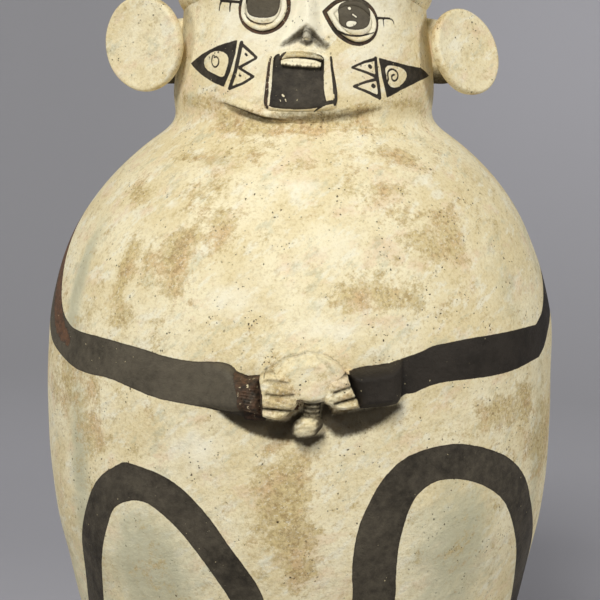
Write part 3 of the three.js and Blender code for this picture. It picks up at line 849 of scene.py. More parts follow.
class Nodes:
    """Adds shader nodes to one material or surround and joins them."""

    def __init__(self, block: bpy.types.Material | bpy.types.World, output: str) -> None:
        """Clears the nodes of a material or surround, and gives it an output of one kind.

        Args:
            block: the material or surround.
            output: the output's kind.
        """
        block.use_nodes = True
        self.tree = block.node_tree
        self.tree.nodes.clear()
        self.output = self.add(output)

    @cached_property
    def place(self) -> Value:
        """Where a point lies on its piece."""
        return self.fed(self.add("ShaderNodeTexCoord"), {}, "Object")

    @cached_property
    def ragged(self) -> Value:
        """The same place shaken a little, so that dots come out ragged.

        Returns:
            The shaken place.
        """
        noise = self.fed(
            self.add("ShaderNodeTexNoise"), {"Vector": self.place, "Scale": 1 / (1.6 * MM)}, "Color")
        shaken = self.add("ShaderNodeVectorMath", operation="MULTIPLY_ADD")
        return self.fed(shaken, {0: noise, 1: (1.7 * MM,) * 3, 2: self.place})

    def add(self, kind: str, **settings: object) -> bpy.types.Node:
        """A new node with its own settings.

        Args:
            kind: its kind.
            settings: its settings.

        Returns:
            The node.
        """
        node = self.tree.nodes.new(kind)
        for name, value in settings.items():
            setattr(node, name, value)
        return node

    def fed(self, node: bpy.types.Node, inputs: dict[str | int, Input], output: str | int = 0) -> Value:
        """Joins a node's inputs to other values, or gives them their own.

        Args:
            node: the node.
            inputs: what goes into each of its sockets.
            output: the socket that is read.

        Returns:
            The node's value.
        """
        for name, value in inputs.items():
            if isinstance(value, Value):
                self.tree.links.new(value.socket, node.inputs[name])
            else:
                node.inputs[name].default_value = value
        return Value(self, node.outputs[output])

    def layer(self, name: str) -> Value:
        """A value kept on the piece's vertices."""
        return self.fed(self.add("ShaderNodeAttribute", attribute_name=name), {}, "Fac")

    def noise(
            self, size: float, detail: float = 3, roughness: float = 0.55, finer: float = 1, shift: float = 0,
            turn: float = 0) -> Value:
        """Cloudy noise.

        Args:
            size: the size of its blotches in millimetres.
            detail: how many finer layers it has.
            roughness: how strong they are.
            finer: how much finer it is along the height.
            shift: moves it, so that two noises differ.
            turn: how steeply its streaks rise to the right, in degrees.

        Returns:
            Its value, about 0.5 on the whole.
        """
        moved = self.fed(
            self.add("ShaderNodeMapping", vector_type="TEXTURE"),
            {"Vector": self.place, "Location": (shift, shift * 0.7, shift * 1.3),
             "Rotation": (0, -math.radians(turn), 0), "Scale": (1, 1, 1 / finer)})
        return self.fed(
            self.add("ShaderNodeTexNoise"),
            {"Vector": moved, "Scale": 1 / (size * MM), "Detail": detail, "Roughness": roughness}, "Fac")

    def dots(self, size: float, radius: float, share: float) -> Value:
        """Scattered ragged dots.

        Args:
            size: the mean spacing of their centres in millimetres.
            radius: their greatest radius in millimetres.
            share: the share of them that is there.

        Returns:
            1 inside a dot and 0 outside.
        """
        cells = self.add("ShaderNodeTexVoronoi")
        away = self.fed(cells, {"Vector": self.ragged, "Scale": 1 / (size * MM)}, "Distance")
        split = self.add("ShaderNodeSeparateColor")
        chance = self.fed(split, {0: Value(self, cells.outputs["Color"])})
        kept = self.sum("GREATER_THAN", chance, 1 - share)
        wide = (Value(self, split.outputs[1]) + 0.4) * (radius / size / 1.4)
        return away.step(wide, wide * 0.55) * kept

    def sum(self, operation: str, first: Value | float, second: Value | float) -> Value:
        """One piece of arithmetic on two values."""
        return self.fed(self.add("ShaderNodeMath", operation=operation), {0: first, 1: second})

    def blend(self, share: Value, first: Input, second: Input) -> Value:
        """One colour passing into another."""
        mix = self.add("ShaderNodeMix", data_type="RGBA")
        return self.fed(mix, {"Factor": share, 6: first, 7: second}, 2)

    def coated(self, color: Input, *coats: tuple[Value, Input]) -> Value:
        """A colour under several others, each with its share.

        Args:
            color: the lowest colour.
            coats: the share and colour of each coat.

        Returns:
            The colour that is seen.
        """
        for share, over in coats:
            color = self.blend(share, color, over)
        return color

    def finish(
            self, color: Value, roughness: Value | float, specular: float,
            heights: Sequence[tuple[Value, float]]) -> None:
        """Makes the shader from a colour, a roughness and the heights of the surface's grain.

        Args:
            color: the colour.
            roughness: the roughness.
            specular: the strength of reflections.
            heights: pairs of a height and its size in millimetres.
        """
        surface = {"Base Color": color, "Roughness": roughness, "Specular IOR Level": specular}
        for height, size in heights:
            bump = {"Height": height, "Distance": size * MM, "Strength": 1.0}
            if "Normal" in surface:
                bump["Normal"] = surface["Normal"]
            surface["Normal"] = self.fed(self.add("ShaderNodeBump"), bump)
        self.show(self.fed(self.add("ShaderNodeBsdfPrincipled"), surface))

    @classmethod
    def of_material(cls, material: bpy.types.Material) -> "Nodes":
        """The nodes of a material."""
        return cls(material, "ShaderNodeOutputMaterial")

    def show(self, shader: Value) -> None:
        """Makes a shader the one that is seen."""
        self.tree.links.new(shader.socket, self.output.inputs["Surface"])


@dataclass(frozen=True)
class ClayFinish:
    """Fired clay under cream slip, with brown-black slip painted on it, stained and worn by burial."""

    slot: Slot
    cream_light: Color = srgb(245, 233, 194)
    cream_deep: Color = srgb(232, 215, 168)
    cream_white: Color = srgb(243, 236, 208)
    # Clean cream where stains go below zero; over the face and the lower left of the body it is painted
    # light.
    cream_clean_and_lit: Color = srgb(252, 246, 221)
    cream_pink: Color = srgb(232, 205, 168)
    cream_grain: Color = srgb(190, 168, 118)
    cream_grey: Color = srgb(196, 193, 162)
    # A dull cream for the deepest greys; down the sides and low on the body it is painted shade.
    cream_dull_and_shaded: Color = srgb(168, 160, 128)
    stain_tan: Color = srgb(214, 193, 136)
    stain_warm: Color = srgb(216, 184, 132)
    stain_deep: Color = srgb(150, 122, 76)
    stain_tide: Color = srgb(168, 144, 96)
    # The dark brown laid by the shade-and-soil layer: soiling, and painted shade under overhangs and in
    # hollows.
    soil_and_shade: Color = srgb(48, 38, 22)
    dark: Color = srgb(33, 28, 20)
    dark_violet: Color = srgb(48, 42, 34)
    dark_dusty: Color = srgb(104, 96, 79)
    dark_thin: Color = srgb(116, 84, 60)
    dark_rim: Color = srgb(46, 36, 26)
    clay: Color = srgb(178, 132, 92)
    clay_deep: Color = srgb(142, 100, 66)
    speck: Color = srgb(62, 48, 26)
    cream_roughness: float = 0.82
    dark_roughness: float = 0.62

    def ground(self, nodes: Nodes, pits: Value) -> Value:
        """The cream slip with its stains, its soiling, and the painted shade and light laid on it.

        Args:
            nodes: the material's nodes.
            pits: where the surface is pitted.

        Returns:
            Its colour.
        """
        noise, stain, grey = nodes.noise, nodes.layer("stain"), nodes.layer("grey")
        blotch = noise(16, 6, 0.66, 1.4, 7, 30) - 0.5
        grain, coarse = noise(1.7, 3, 0.75, shift=1), noise(5.5, 4, 0.7, 1.5, 41, 35)
        color = nodes.blend(noise(42, 3, 0.55).step(0.38, 0.62), self.cream_light, self.cream_deep)
        color = nodes.coated(
            color, (noise(15, 5, 0.66, 2.6, 3, 38).step(0.52, 0.64) * 0.8, self.cream_white),
            (noise(22, 5, 0.62, 1.6, 21, 20).step(0.53, 0.68) * 0.6, self.cream_pink),
            (noise(19, 5, 0.66, 2.2, 51, 40).step(0.55, 0.68) * 0.52, self.cream_grey),
            (coarse.step(0.5, 0.72) * 0.46, self.cream_grain),
            (grain.step(0.48, 0.74) * 0.52, self.cream_grain),
            (grain.step(0.5, 0.3) * 0.35, self.cream_white),
            # Stains below zero clean the slip, in places as painted light; greys dull it, in places as
            # painted shade.
            ((stain + blotch * 0.8).step(-0.06, -0.5) * 0.72, self.cream_clean_and_lit),
            ((grey + blotch * 1.3).step(0.1, 0.95) * 0.8, self.cream_grey),
            ((grey + blotch * 1.1).step(0.7, 1.7) * 0.85, self.cream_dull_and_shaded))
        soiled = stain + blotch * 2.4 + (grain * 0.8 + coarse * 1.0 - 0.97)
        tan = soiled.step(0.06, 0.78)
        grains = noise(2.3, 3, 0.75, shift=5).step(0.46, 0.6)
        chalk = noise(1.9, 3, 0.7, 1.5, 45, 35).step(0.55, 0.66)
        warm = noise(13, 4, 0.6, shift=61).step(0.46, 0.64)
        # Soiling and painted shade, from the layer that each piece carries.
        soil_and_shade_held = nodes.layer("painted_shade_and_soil") + (grain - 0.5) * 0.5
        return nodes.coated(
            color, (tan * 0.8, nodes.blend(warm, self.stain_tan, self.stain_warm)),
            (tan * grains * 0.55, self.stain_deep), (tan * chalk * 0.6, self.cream_white),
            (soiled.step(0.25, 0.45) * soiled.step(0.75, 0.5) * 0.16, self.stain_tide),
            (soiled.step(0.6, 1.4) * 0.5, self.stain_deep), (soil_and_shade_held.step(0.08, 0.95) * 0.95, self.soil_and_shade),
            (pits * 0.9, self.speck), (nodes.dots(14, 1.0, 0.6) * 0.7, self.speck))

    def pits(self, nodes: Nodes) -> Value:
        """Small pits, most of them in clusters: 1 in a pit and 0 outside."""
        gathered = nodes.noise(15, 4, 0.65, shift=31).step(0.5, 0.62)
        return nodes.sum("MAXIMUM", nodes.dots(2.0, 0.68, 0.7) * gathered, nodes.dots(6.0, 0.8, 0.55) * 0.5)

    def paint(self, nodes: Nodes, edge: Value) -> Value:
        """The dark slip, dusty in places and red-brown where it is thin.

        Args:
            nodes: the material's nodes.
            edge: the distance to the paint's edge.

        Returns:
            Its colour.
        """
        cloud, fine = nodes.noise(22, 4, 0.6, shift=11), nodes.noise(4.5, 5, 0.7, shift=15)
        streaks = nodes.noise(5, 4, 0.6, 2.2, 5)
        powder = nodes.layer("dust") + (fine - 0.5) * 0.9 + (cloud - 0.5) * 0.8
        return nodes.coated(
            self.dark, (cloud.step(0.36, 0.64), self.dark_violet),
            (powder.step(0, 1) * 0.85, self.dark_dusty),
            ((nodes.layer("thin") + (streaks - 0.5)).step(0.25, 0.95), self.dark_thin),
            (edge.step(-0.9, -0.2) * 0.55, self.dark_rim), (nodes.dots(4.6, 0.5, 0.6) * 0.6, self.cream_deep))

    def build(self) -> bpy.types.Material:
        """Makes the material.

        Returns:
            The material, named after its slot.
        """
        material = bpy.data.materials.new(self.slot.value)
        nodes = Nodes.of_material(material)
        noise, pits = nodes.noise, self.pits(nodes)
        fray = noise(3.5, 5, 0.74, shift=9) - 0.5
        edge = nodes.layer("slip_edge") + fray * 0.7
        chips = noise(3.2, 4, 0.7, shift=13) + nodes.layer("worn")
        covered = (1.0 - edge.step(-0.16, 0.16)) * (1.0 - chips.step(0.76, 0.82))
        clay = nodes.coated(
            self.clay, (noise(7, 5, 0.65, shift=17).step(0.35, 0.7), self.clay_deep),
            (nodes.dots(3, 0.7, 0.7) * 0.5, self.cream_deep))
        bare = (nodes.layer("bare") + fray * 0.9).step(0.42, 0.58)
        color = nodes.coated(self.ground(nodes, pits), (covered, self.paint(nodes, edge)), (bare, clay))
        roughness = covered * (self.dark_roughness - self.cream_roughness) + self.cream_roughness
        nodes.finish(
            color, roughness, 0.22,
            ((noise(14, 3, 0.5, 1.8, 2, 25), 0.8), (noise(3, 4, 0.65, 1.3, 4), 0.42),
             (noise(1.1, 3, 0.65), 0.22), (1.0 - pits, 0.3)))
        return material


@dataclass
class Paintwork:
    """Painted figures, stains, wear and the jaw's line with its swells and drops, in the photo's pixels."""

    LEFT_EYE = (
        (240, 8), (240.5, 18), (246, 26.5), (255.5, 32), (266, 33), (277, 29), (285.5, 20), (289, 9),
        (288.5, -2), (283, -12), (274, -18), (262, -20), (250, -15), (242.5, -4))
    RIGHT_EYE = (
        (324.4, 12), (331, 25), (338.5, 35.2), (348.5, 42), (358, 44.6), (369, 41.5), (376, 32.5),
        (377.4, 21.7), (374, 11), (366, 3), (356, -1.5), (344, -1.5), (333, 3.5))
    MOUTH_PANEL = (
        (274.6, 55.6), (279.5, 52.6), (281.6, 58), (320.6, 57), (324, 59), (323.4, 74), (323.4, 92),
        (326, 104), (314, 108.4), (300, 109.2), (284, 108.6), (270.6, 106.6), (268.6, 100), (270.6, 78),
        (273, 60))
    JAW = ((206, 96.6, 0, 2), (220, 101, 0.5, 1.6), (232, 104.2, 2, 1.4), (244, 108.2, 2.9, 1.2),
           (256, 112.6, 3, 1.2), (267, 116.2, 2.7, 1.4), (280, 117.4, 2.2, 2.6), (300, 116, 1.9, 4),
           (326, 114, 1.5, 4.6), (348, 110.6, 1.2, 4.6), (366, 107, 1, 4.2), (382, 103.4, 0.6, 4),
           (400, 98, 0, 4))

    tracer: Tracer

    def area(self, *pixels: Pixel, **more: object) -> Mark:
        """A painted area."""
        return Mark(self.tracer.route(*pixels), **more)

    def line(self, width: float | Sequence[float], *pixels: Pixel, rounds: int = 2, **more: object) -> Mark:
        """A brush line, whose width is in millimetres."""
        return Mark(self.tracer.route(*pixels), width=width, rounds=rounds, **more)

    def smudge(
            self, strength: float, soft: float, widths: Sequence[float], *pixels: Pixel,
            lift: float = 0) -> Smudge:
        """Soiling and painted shade along a line of pixels, its softness and widths in millimetres."""
        return Smudge(self.tracer.route(*pixels, lift=lift), widths, strength, soft)

    def blooms(self, *rows: tuple[float, float, float, float, float]) -> list[Bloom]:
        """Soft-edged places, each by its middle, half width and half height in pixels, and its strength.

        Args:
            rows: these five numbers for each.

        Returns:
            The places as blooms.
        """
        scale = (self.tracer.camera.distance - self.tracer.form.girth) / self.tracer.camera.focal_pixels
        return [Bloom(self.tracer.touch((x, y)), across * scale, up * scale, strength)
                for x, y, across, up, strength in rows]

    def eyes(self) -> list[Mark]:
        """Outlines, pupils and lashes.

        Returns:
            The marks, in the order of painting.
        """
        line, area, cream = self.line, self.area, Slip.CREAM
        return [line(2.1, *self.LEFT_EYE, self.LEFT_EYE[0], thin=0.6, worn=0.15),
                line(2.2, *self.RIGHT_EYE, self.RIGHT_EYE[0], thin=0.5, worn=0.1),
                line((0.3, 1, 0.8, 0.4), (246, 13), (249, 19), (256, 23), (264, 24.2), (273, 22.5), thin=0.6,
                     worn=0.1),
                line((0.5, 1.1, 1.2, 0.5), (332, 27), (339, 32), (347, 35.6), (360, 36.2), (372, 32.4),
                     thin=0.3),
                area((247, -6), (247, 6), (249.4, 14), (255, 17), (267, 18.3), (275, 16.4), (279.6, 11),
                     (281, -3), (275, -11), (262, -14), (252, -11), thin=0.05, dust=0.85, worn=0.05),
                area((338, 20), (337, 9), (339.5, 3.5), (347, 0.5), (360, 0.5), (366.5, 5), (369.6, 13),
                     (368.4, 22.5), (364, 28), (355, 30.2), (344.6, 28.6), (339.4, 24.4), thin=0.05,
                     dust=0.85, worn=0.06),
                area((345, 22), (349.4, 20.6), (355, 22), (353.6, 24.8), (349.4, 27), (345.4, 26),
                     slip=cream),
                area((346.5, 7.5), (349.5, 6.6), (350, 9.8), (347.4, 9.8), slip=cream),
                line(0.7, (351, 14.4), (354.4, 17), slip=cream, rounds=0),
                line((1.4, 1, 0.9, 0.6), (376.5, 18), (384, 18.2), (391.5, 18.6), (394.2, 22.5), (395, 28)),
                line((0.9, 0.6), (383, 18.4), (383.6, 23), (384.4, 27.4)),
                line((1.7, 1.5), (221, 0.4), (231, 1.4), (241, 2.2)),
                line((1.2, 0.8), (221.2, 0.4), (219.8, 5), (219.2, 10.4)),
                line((1.2, 0.8), (230.6, 2), (229.8, 7), (229.6, 11.6))]

    def cheeks(self) -> list[Mark]:
        """The birds' heads on the cheeks.

        Returns:
            The marks, in the order of painting.
        """
        line, area, cream = self.line, self.area, Slip.CREAM
        left = [area((190.6, 63.6), (203, 53.6), (219, 45.4), (237.4, 39.8), (235.6, 54), (230.6, 72),
                     (224.6, 87), (213, 82.2), (201, 74.4), rounds=0),
                area((203.4, 61), (208.6, 54), (217.5, 50.4), (226.6, 53), (229.4, 60.5), (226.4, 70),
                     (224, 78), (214.6, 74), (206, 69.4), slip=cream),
                line(1, (213.4, 55), (211.6, 61), (213.4, 66.6), (216.8, 67.4), (219.8, 61.8), (217.6, 56.2),
                     (214.4, 57.4)),
                line(2.3, (241.6, 42.8), (238.4, 58), (235.4, 73), (230.8, 88), rounds=1),
                line((1.9, 1.5), (243.2, 45.5), (249.6, 51), (256.4, 57.4), rounds=0),
                line((1.4, 1.7), (256, 58.2), (240.6, 67), rounds=0),
                line((1.5, 1.4), (239.6, 68), (253.6, 76.6), rounds=0),
                line((1.4, 1.7), (253.4, 76.8), (243.5, 83.4), (231.8, 88.2), rounds=0),
                line(1.3, (245.6, 53.8), (246.9, 55.4), rounds=0),
                line(1.2, (239.8, 75.2), (241, 76), rounds=0)]
        right = [line(2, (375.2, 58.2), (376.4, 72), (378.2, 86), (379.2, 98), rounds=1),
                 line((1.9, 1.1), (375.4, 59), (364, 62), (352, 67.2), rounds=0),
                 line((1.1, 1.7), (352, 67.6), (364, 71.6), (377, 77), rounds=0),
                 line((1.7, 1.2), (377, 79), (366, 81.8), (353.4, 86.2), rounds=0),
                 line((1.2, 1.9), (353.6, 86.6), (366, 91.4), (379, 97.8), rounds=0),
                 line(2, (369.3, 66), (370.3, 67.2), rounds=0),
                 line(2.3, (372.6, 85.6), (373.4, 86.4), rounds=0),
                 area((378.4, 57.6), (392, 61.4), (407, 65.2), (421, 68), (429.4, 75.6), (418, 81.6),
                      (403, 89.2), (386.2, 98), (382, 78), rounds=0),
                 line((0.9, 0.4), (420.6, 64.4), (421, 68), rounds=0),
                 area((385, 66), (392, 65.4), (402.6, 67.8), (407.6, 74), (404.8, 82), (396.4, 88.2),
                      (389, 86.4), (385.6, 76), slip=cream),
                 line(1.1, (388.2, 80.4), (387, 71.4), (392.6, 68.2), (398.6, 73.4), (397.2, 80.2),
                      (392.4, 81.2), (391, 75.6), (394.6, 74.6))]
        return left + right

    def mouth(self) -> list[Mark]:
        """The open mouth's dark panel, its light edges and its outline.

        Returns:
            The marks, in the order of painting.
        """
        line, area, cream = self.line, self.area, Slip.CREAM
        return [area(*self.MOUTH_PANEL, rounds=1, dust=0.3, worn=0.05),
                line(0.8, (283, 94.6), (284.4, 96), slip=cream, rounds=0),
                line(0.6, (286, 99), (286.8, 101), slip=cream, rounds=0),
                line(0.5, (281, 99.6), (281.6, 101), slip=cream, rounds=0),
                line((1.4, 1.9, 1.7), (270.8, 57.4), (268.8, 73), (267.6, 90), (267.2, 103), (269, 107),
                     thin=0.5, worn=0.18),
                line((1.4, 1.6, 2, 2.6, 1.9), (330.6, 57.4), (331.4, 68), (333.4, 80), (334.6, 94),
                     (333.8, 104), thin=0.25, worn=0.08),
                line((0.9, 0.6), (332.4, 94.6), (332.8, 98), slip=cream, rounds=0),
                line((0.7, 1.1, 0.9), (273.4, 59), (271.8, 74), (270.8, 90), (270.4, 104), slip=cream,
                     worn=0.2),
                area((324.8, 57), (328, 57.4), (328.4, 68), (330.4, 80), (330.2, 92), (329.6, 99.4),
                     (326.2, 99.6), (324, 88), (323.2, 74), (324.6, 68), slip=cream),
                line((2, 2.2, 1.5, 0.7), (334, 101.5), (328, 102), (321, 105), (314, 111.4))]

    def lip(self) -> Decoration:
        """The lip's dark ends and the dark under its right half.

        Returns:
            The lip's decoration.
        """
        marks = [self.area(
                     (277, 60), (279.6, 54.4), (284, 51.4), (287.6, 52), (284, 56.4), (281.6, 61), thin=0.4,
                     worn=0.1),
                 self.line((0.6, 1.5, 1.7), (300, 57.2), (311, 58.8), (323, 61.2), thin=0.15),
                 self.line((1.2, 1.6), (320, 55), (324.6, 58), (324.4, 62))]
        return Decoration(marks, self.blooms((302, 54, 24, 6, 0.7)), self.blooms((304, 53, 22, 4, 0.9)))

    def band(self) -> Decoration:
        """The thin brown wash of the headband, whose lower edge shows at the photograph's top corners.

        Returns:
            The band's decoration.
        """
        edge = self.line((0.9, 0.7), (399, 12.6), (411, 15.4), (426, 18.8), thin=0.7, worn=0.12)
        stains = self.blooms((384, 4, 24, 12, 0.5), (190, 6, 18, 16, 0.5))
        greys = self.blooms((412, 4, 22, 14, 0.9))
        for angle in range(-180, 180, 40):
            stains.append(Bloom((math.radians(angle), 470), 30, 16, 0.6))
            greys.append(Bloom((math.radians(angle + 20), 474), 26, 14, 0.6))
        return Decoration([edge], stains, greys, [])

    def face(self) -> Decoration:
        """What is painted, stained and worn on the head.

        Returns:
            The head's decoration.
        """
        smudge = self.smudge
        # The blooms along and under the jaw darken the neck below it. The two wide ones below zero lighten
        # the face and the head above it: painted light.
        stains = self.blooms(
            (205, 103, 42, 10, 0.75), (300, 125, 110, 9, 1.25), (398, 104, 52, 9, 0.7),
            (358, 110, 22, 8, 1.2), (240, 114, 40, 7, 0.85), (330, 117, 50, 6, 0.9), (420, 90, 18, 40, 0.35),
            (184, 92, 14, 34, 0.45), (330, 45, 22, 10, 0.45), (206, 16, 22, 26, 0.3), (300, 60, 60, 20, 0.15),
            (262, 25, 24, 7, 0.5), (352, 38, 26, 7, 0.5), (305, 10, 140, 105, -0.55),
            (300, -60, 130, 60, -0.2))
        # The two tall greys down the sides of the head darken it towards its edges: painted shade.
        greys = self.blooms((180, 60, 16, 60, 0.5), (428, 60, 16, 60, 0.5), (190, 100, 24, 12, 0.8))
        # Most of these are painted shade, with some soiling: under the nose's wings and tip, down its right
        # side, under the teeth, under the chin and along the jaw's undercut. The last darkens the top edge of
        # the lip.
        shade_and_soil_smudges = [smudge(0.68, 1.4, (1.6, 3, 3.8), (282, 46), (290, 42.4), (300, 38)),
                 smudge(0.66, 1.4, (3.4, 5.4, 4.6), (312, 39), (319, 42.4), (326, 46)),
                 smudge(0.8, 1, (2.4, 3.2, 2.4), (301, 41.6), (306.5, 43.4), (312, 41.6)),
                 smudge(0.56, 1.5, (1.4, 3.2, 3.4, 3, 1.4), (276, 113), (294, 113.6), (314, 114),
                        (332, 112.6), (348, 109)),
                 smudge(0.3, 1.2, (1, 1.4, 0.6), (314.8, -14), (315.2, 2), (315.4, 20)),
                 smudge(0.8, 0.8, (3.2, 3.6, 3.2), (280, 70.6), (300, 71.4), (321, 72)),
                 smudge(0.95, 1, (0.6, 1.6, 2.4, 2.2, 0.8), (226, 102.6), (238, 106.8), (250, 112.2),
                        (264, 117.6), (286, 119.8)),
                 smudge(0.5, 2.6, (1, 5, 6, 5, 3), (221, 102), (234, 107.2), (250, 113.6), (268, 119),
                        (296, 121.4)),
                 smudge(0.62, 3, (2, 5, 6, 5, 2), (270, 115), (300, 118), (330, 117), (356, 114), (380, 108)),
                 smudge(0.4, 1, (0.6, 1.2, 0.6), (282, 50), (300, 49), (322, 52))]
        wears = self.blooms((240.5, 13, 4, 9, 0.2), (262, -20, 14, 4, 0.1))
        return Decoration(self.eyes() + self.mouth() + self.cheeks(), stains, greys, wears, shade_and_soil_smudges=shade_and_soil_smudges)

    def arms(self) -> list[Mark]:
        """The painted arms, from behind the shoulders to the wrists.

        Returns:
            The marks, in the order of painting.
        """
        route = self.tracer.route
        left_upper = route(
            (65, 252), (61.5, 279), (62.3, 308), (66.7, 320), (75.5, 330), (103, 337), (144.4, 349),
            (162, 355.7), (191, 361.6), (214, 361.4), (226, 362.8), (233, 366), (238.5, 372.4), (246, 375))
        left_lower = route(
            (246, 422, 10), (226, 415.5, 6), (206, 407.8), (176.7, 402.6), (154.7, 398), (132.7, 388.7),
            (109, 377.7), (88.7, 374), (74, 368), (60, 353))
        left_back = degrees(
            (-76, 270), (-86, 281), (-95, 305), (-102, 330), (-107, 352), (-100, 362), (-92, 350), (-86, 325),
            (-80, 300))
        right_upper = route(
            (344, 372), (360, 366.4), (384.4, 364), (398, 359.6), (421, 352), (431.8, 345.8), (447, 342.8),
            (470, 338), (493, 334.3), (523.7, 327.5), (539, 323.4))
        right_lower = route(
            (541, 355.5), (531, 361), (513, 370.3), (493, 375.7), (465.5, 379.5), (444, 381.8), (425.7, 387),
            (412.7, 394), (405.8, 393), (402, 404, 7), (388, 409.5, 11), (374, 412.5, 12), (363, 413, 12),
            (361, 405, 12), (352, 390, 12))
        right_back = degrees(
            (80, 302), (90, 315), (98, 335), (104, 352), (111, 346), (106, 322), (97, 300), (86, 284),
            (76, 279))
        return [Mark(np.vstack([left_upper, left_lower, left_back]), rounds=1, thin=0.1, dust=0.66),
                Mark(np.vstack([right_upper, right_back, right_lower]), rounds=1, thin=0.02, dust=-0.8),
                Mark(degrees((-62, 274), (-70, 282), (-77, 300), (-85, 328), (-98, 352)),
                     width=(5, 14, 17, 15, 10), rounds=2, thin=0.7, worn=0.06)]

    def legs(self) -> list[Mark]:
        """The painted leg loops, with the feet that they run down to.

        Returns:
            The marks, in the order of painting.
        """
        left_outer = (
            (90.5, 611), (87.8, 590), (84.5, 562.5), (82.2, 531.8), (86, 507.3), (93.7, 484.4), (104.4, 472),
            (118, 464.5), (123.5, 461.4), (136.5, 465.3), (159.5, 473.7), (179.4, 486), (197.8, 504.3),
            (213, 522.7), (228.4, 545.6), (243.7, 565.5), (259, 587), (270, 616), (275, 650), (273, 690),
            (268, 716))
        left_inner = (
            (240, 716), (248, 690), (249, 655), (242, 622), (230, 599), (210, 570), (191.6, 545.6),
            (176.3, 527.2), (158, 510.4), (145.7, 502), (133.5, 500), (121.2, 502.8), (112.8, 508.9),
            (107.5, 525.7), (103.6, 544), (102, 570), (103.6, 599), (110, 640), (126, 690), (120, 700),
            (100, 656))
        right_outer = (
            (330, 716), (341, 680), (349, 640), (353, 599), (351.7, 573), (353, 554.7), (358.3, 527),
            (366, 508.8), (381.2, 479.7), (402.7, 458.3), (427, 448.3), (450, 443.7), (465.4, 443.7),
            (488.4, 448.3), (508.3, 456.7), (520.5, 469), (526.6, 481), (530.5, 501), (531, 542.5),
            (528, 562.4), (522, 582.3), (515, 610), (500, 660), (486, 690))
        right_inner = (
            (478, 690), (494, 650), (506, 620), (510.6, 599), (514.4, 579), (516.7, 554.7), (515.2, 533.3),
            (510.6, 515), (503.7, 499.6), (488.4, 487.4), (470, 480.5), (453.2, 478.6), (434.8, 481.2),
            (419.5, 492), (410.3, 505.7), (404.2, 524), (398.8, 545.5), (396, 573), (395.8, 599), (389, 640),
            (377, 680), (362, 716))
        return [self.area(*left_outer, *left_inner, worn=0.05, dust=0.35),
                self.area(*right_outer, *right_inner, worn=0.03, dust=0.33)]

    def body(self) -> Decoration:
        """What is painted, stained and worn on the body.

        Returns:
            The body's decoration.
        """
        smudge, route = self.smudge, self.tracer.route
        # The wide bloom at (300, 129) darkens the neck under the jaw; the one below zero at (200, 452)
        # lightens the lower body: painted light.
        stains = self.blooms(
            (124, 275, 15, 56, 1.15), (178, 256, 20, 48, 1.15), (150, 268, 19, 34, 0.7),
            (139, 192, 22, 22, 0.75), (190, 157, 36, 10, 0.7), (222, 228, 27, 31, 0.7),
            (204, 190, 36, 20, 0.5), (124, 320, 17, 20, 0.6), (240, 165, 50, 30, 0.3),
            (149, 180, 8, 10, -0.8), (156, 247, 7, 9, -0.8), (172, 204, 17, 7, -0.4),
            (400, 156, 28, 19, 0.85), (375, 190, 42, 16, 0.65), (400, 216, 28, 17, 0.5),
            (452, 234, 19, 38, 0.8), (425, 250, 28, 20, 0.6), (392, 296, 54, 24, 0.6),
            (405, 236, 84, 84, 0.26), (350, 300, 28, 17, 0.5), (428, 184, 12, 14, -0.5),
            (346, 238, 52, 28, -0.42), (236, 298, 38, 24, -0.38), (330, 330, 64, 16, -0.34),
            (300, 186, 48, 15, -0.36), (305, 165, 42, 17, 0.3), (284, 502, 35, 80, 1.1),
            (296, 562, 27, 42, 0.75), (300, 280, 60, 30, -0.15), (524, 404, 24, 24, 1.1),
            (496, 412, 50, 22, 0.8), (92, 430, 30, 90, 0.42), (200, 452, 56, 34, -0.3),
            (300, 129, 130, 10, 1.1), (240, 150, 60, 20, 0.35), (455, 560, 40, 50, 0.25),
            (150, 560, 40, 50, 0.3), (276, 400, 24, 24, 0.45), (344, 396, 24, 24, 0.6),
            (300, 376, 40, 26, 0.35))
        # The tall greys down both sides darken the jar towards its edges: painted shade. The broad ones low
        # down darken the lower body: its real grey-green, and painted shade.
        greys = self.blooms(
            (150, 570, 62, 76, 1.45), (456, 545, 66, 84, 1.15), (440, 610, 60, 50, 0.7),
            (505, 285, 34, 60, 0.5), (80, 470, 26, 160, 1), (535, 470, 24, 160, 0.7), (75, 300, 20, 110, 1.2),
            (535, 260, 24, 90, 0.55), (215, 160, 34, 12, 0.6), (330, 366, 9, 8, 0.6), (311, 388, 5, 12, 0.3),
            (313, 400, 12, 3, 0.7))
        for angle in range(70, 300, 38):
            turn = math.radians(angle)
            stains.append(Bloom((turn, 250 + 70 * math.sin(3 * turn)), 45, 38, 0.55))
            greys.append(Bloom((turn + 0.4, 120 + 25 * math.sin(2 * turn)), 60, 50, 0.6))
        wears = self.blooms((253, 384, 6, 10, 0.22), (254, 414, 8, 8, 0.22), (96, 588, 8, 12, 0.1))
        cuff = Mark(
            route((237.5, 371.6), (248, 375.4), (262, 374.6), (262.5, 396, 12), (262.5, 426, 12),
                  (239, 424, 12), (238, 396, 12)),
            rounds=0, thin=0.5, worn=0.14)
        dusts = self.blooms((372, 384, 26, 16, 0.75), (215, 385, 30, 20, 0.16), (330, 600, 400, 200, 0.12))
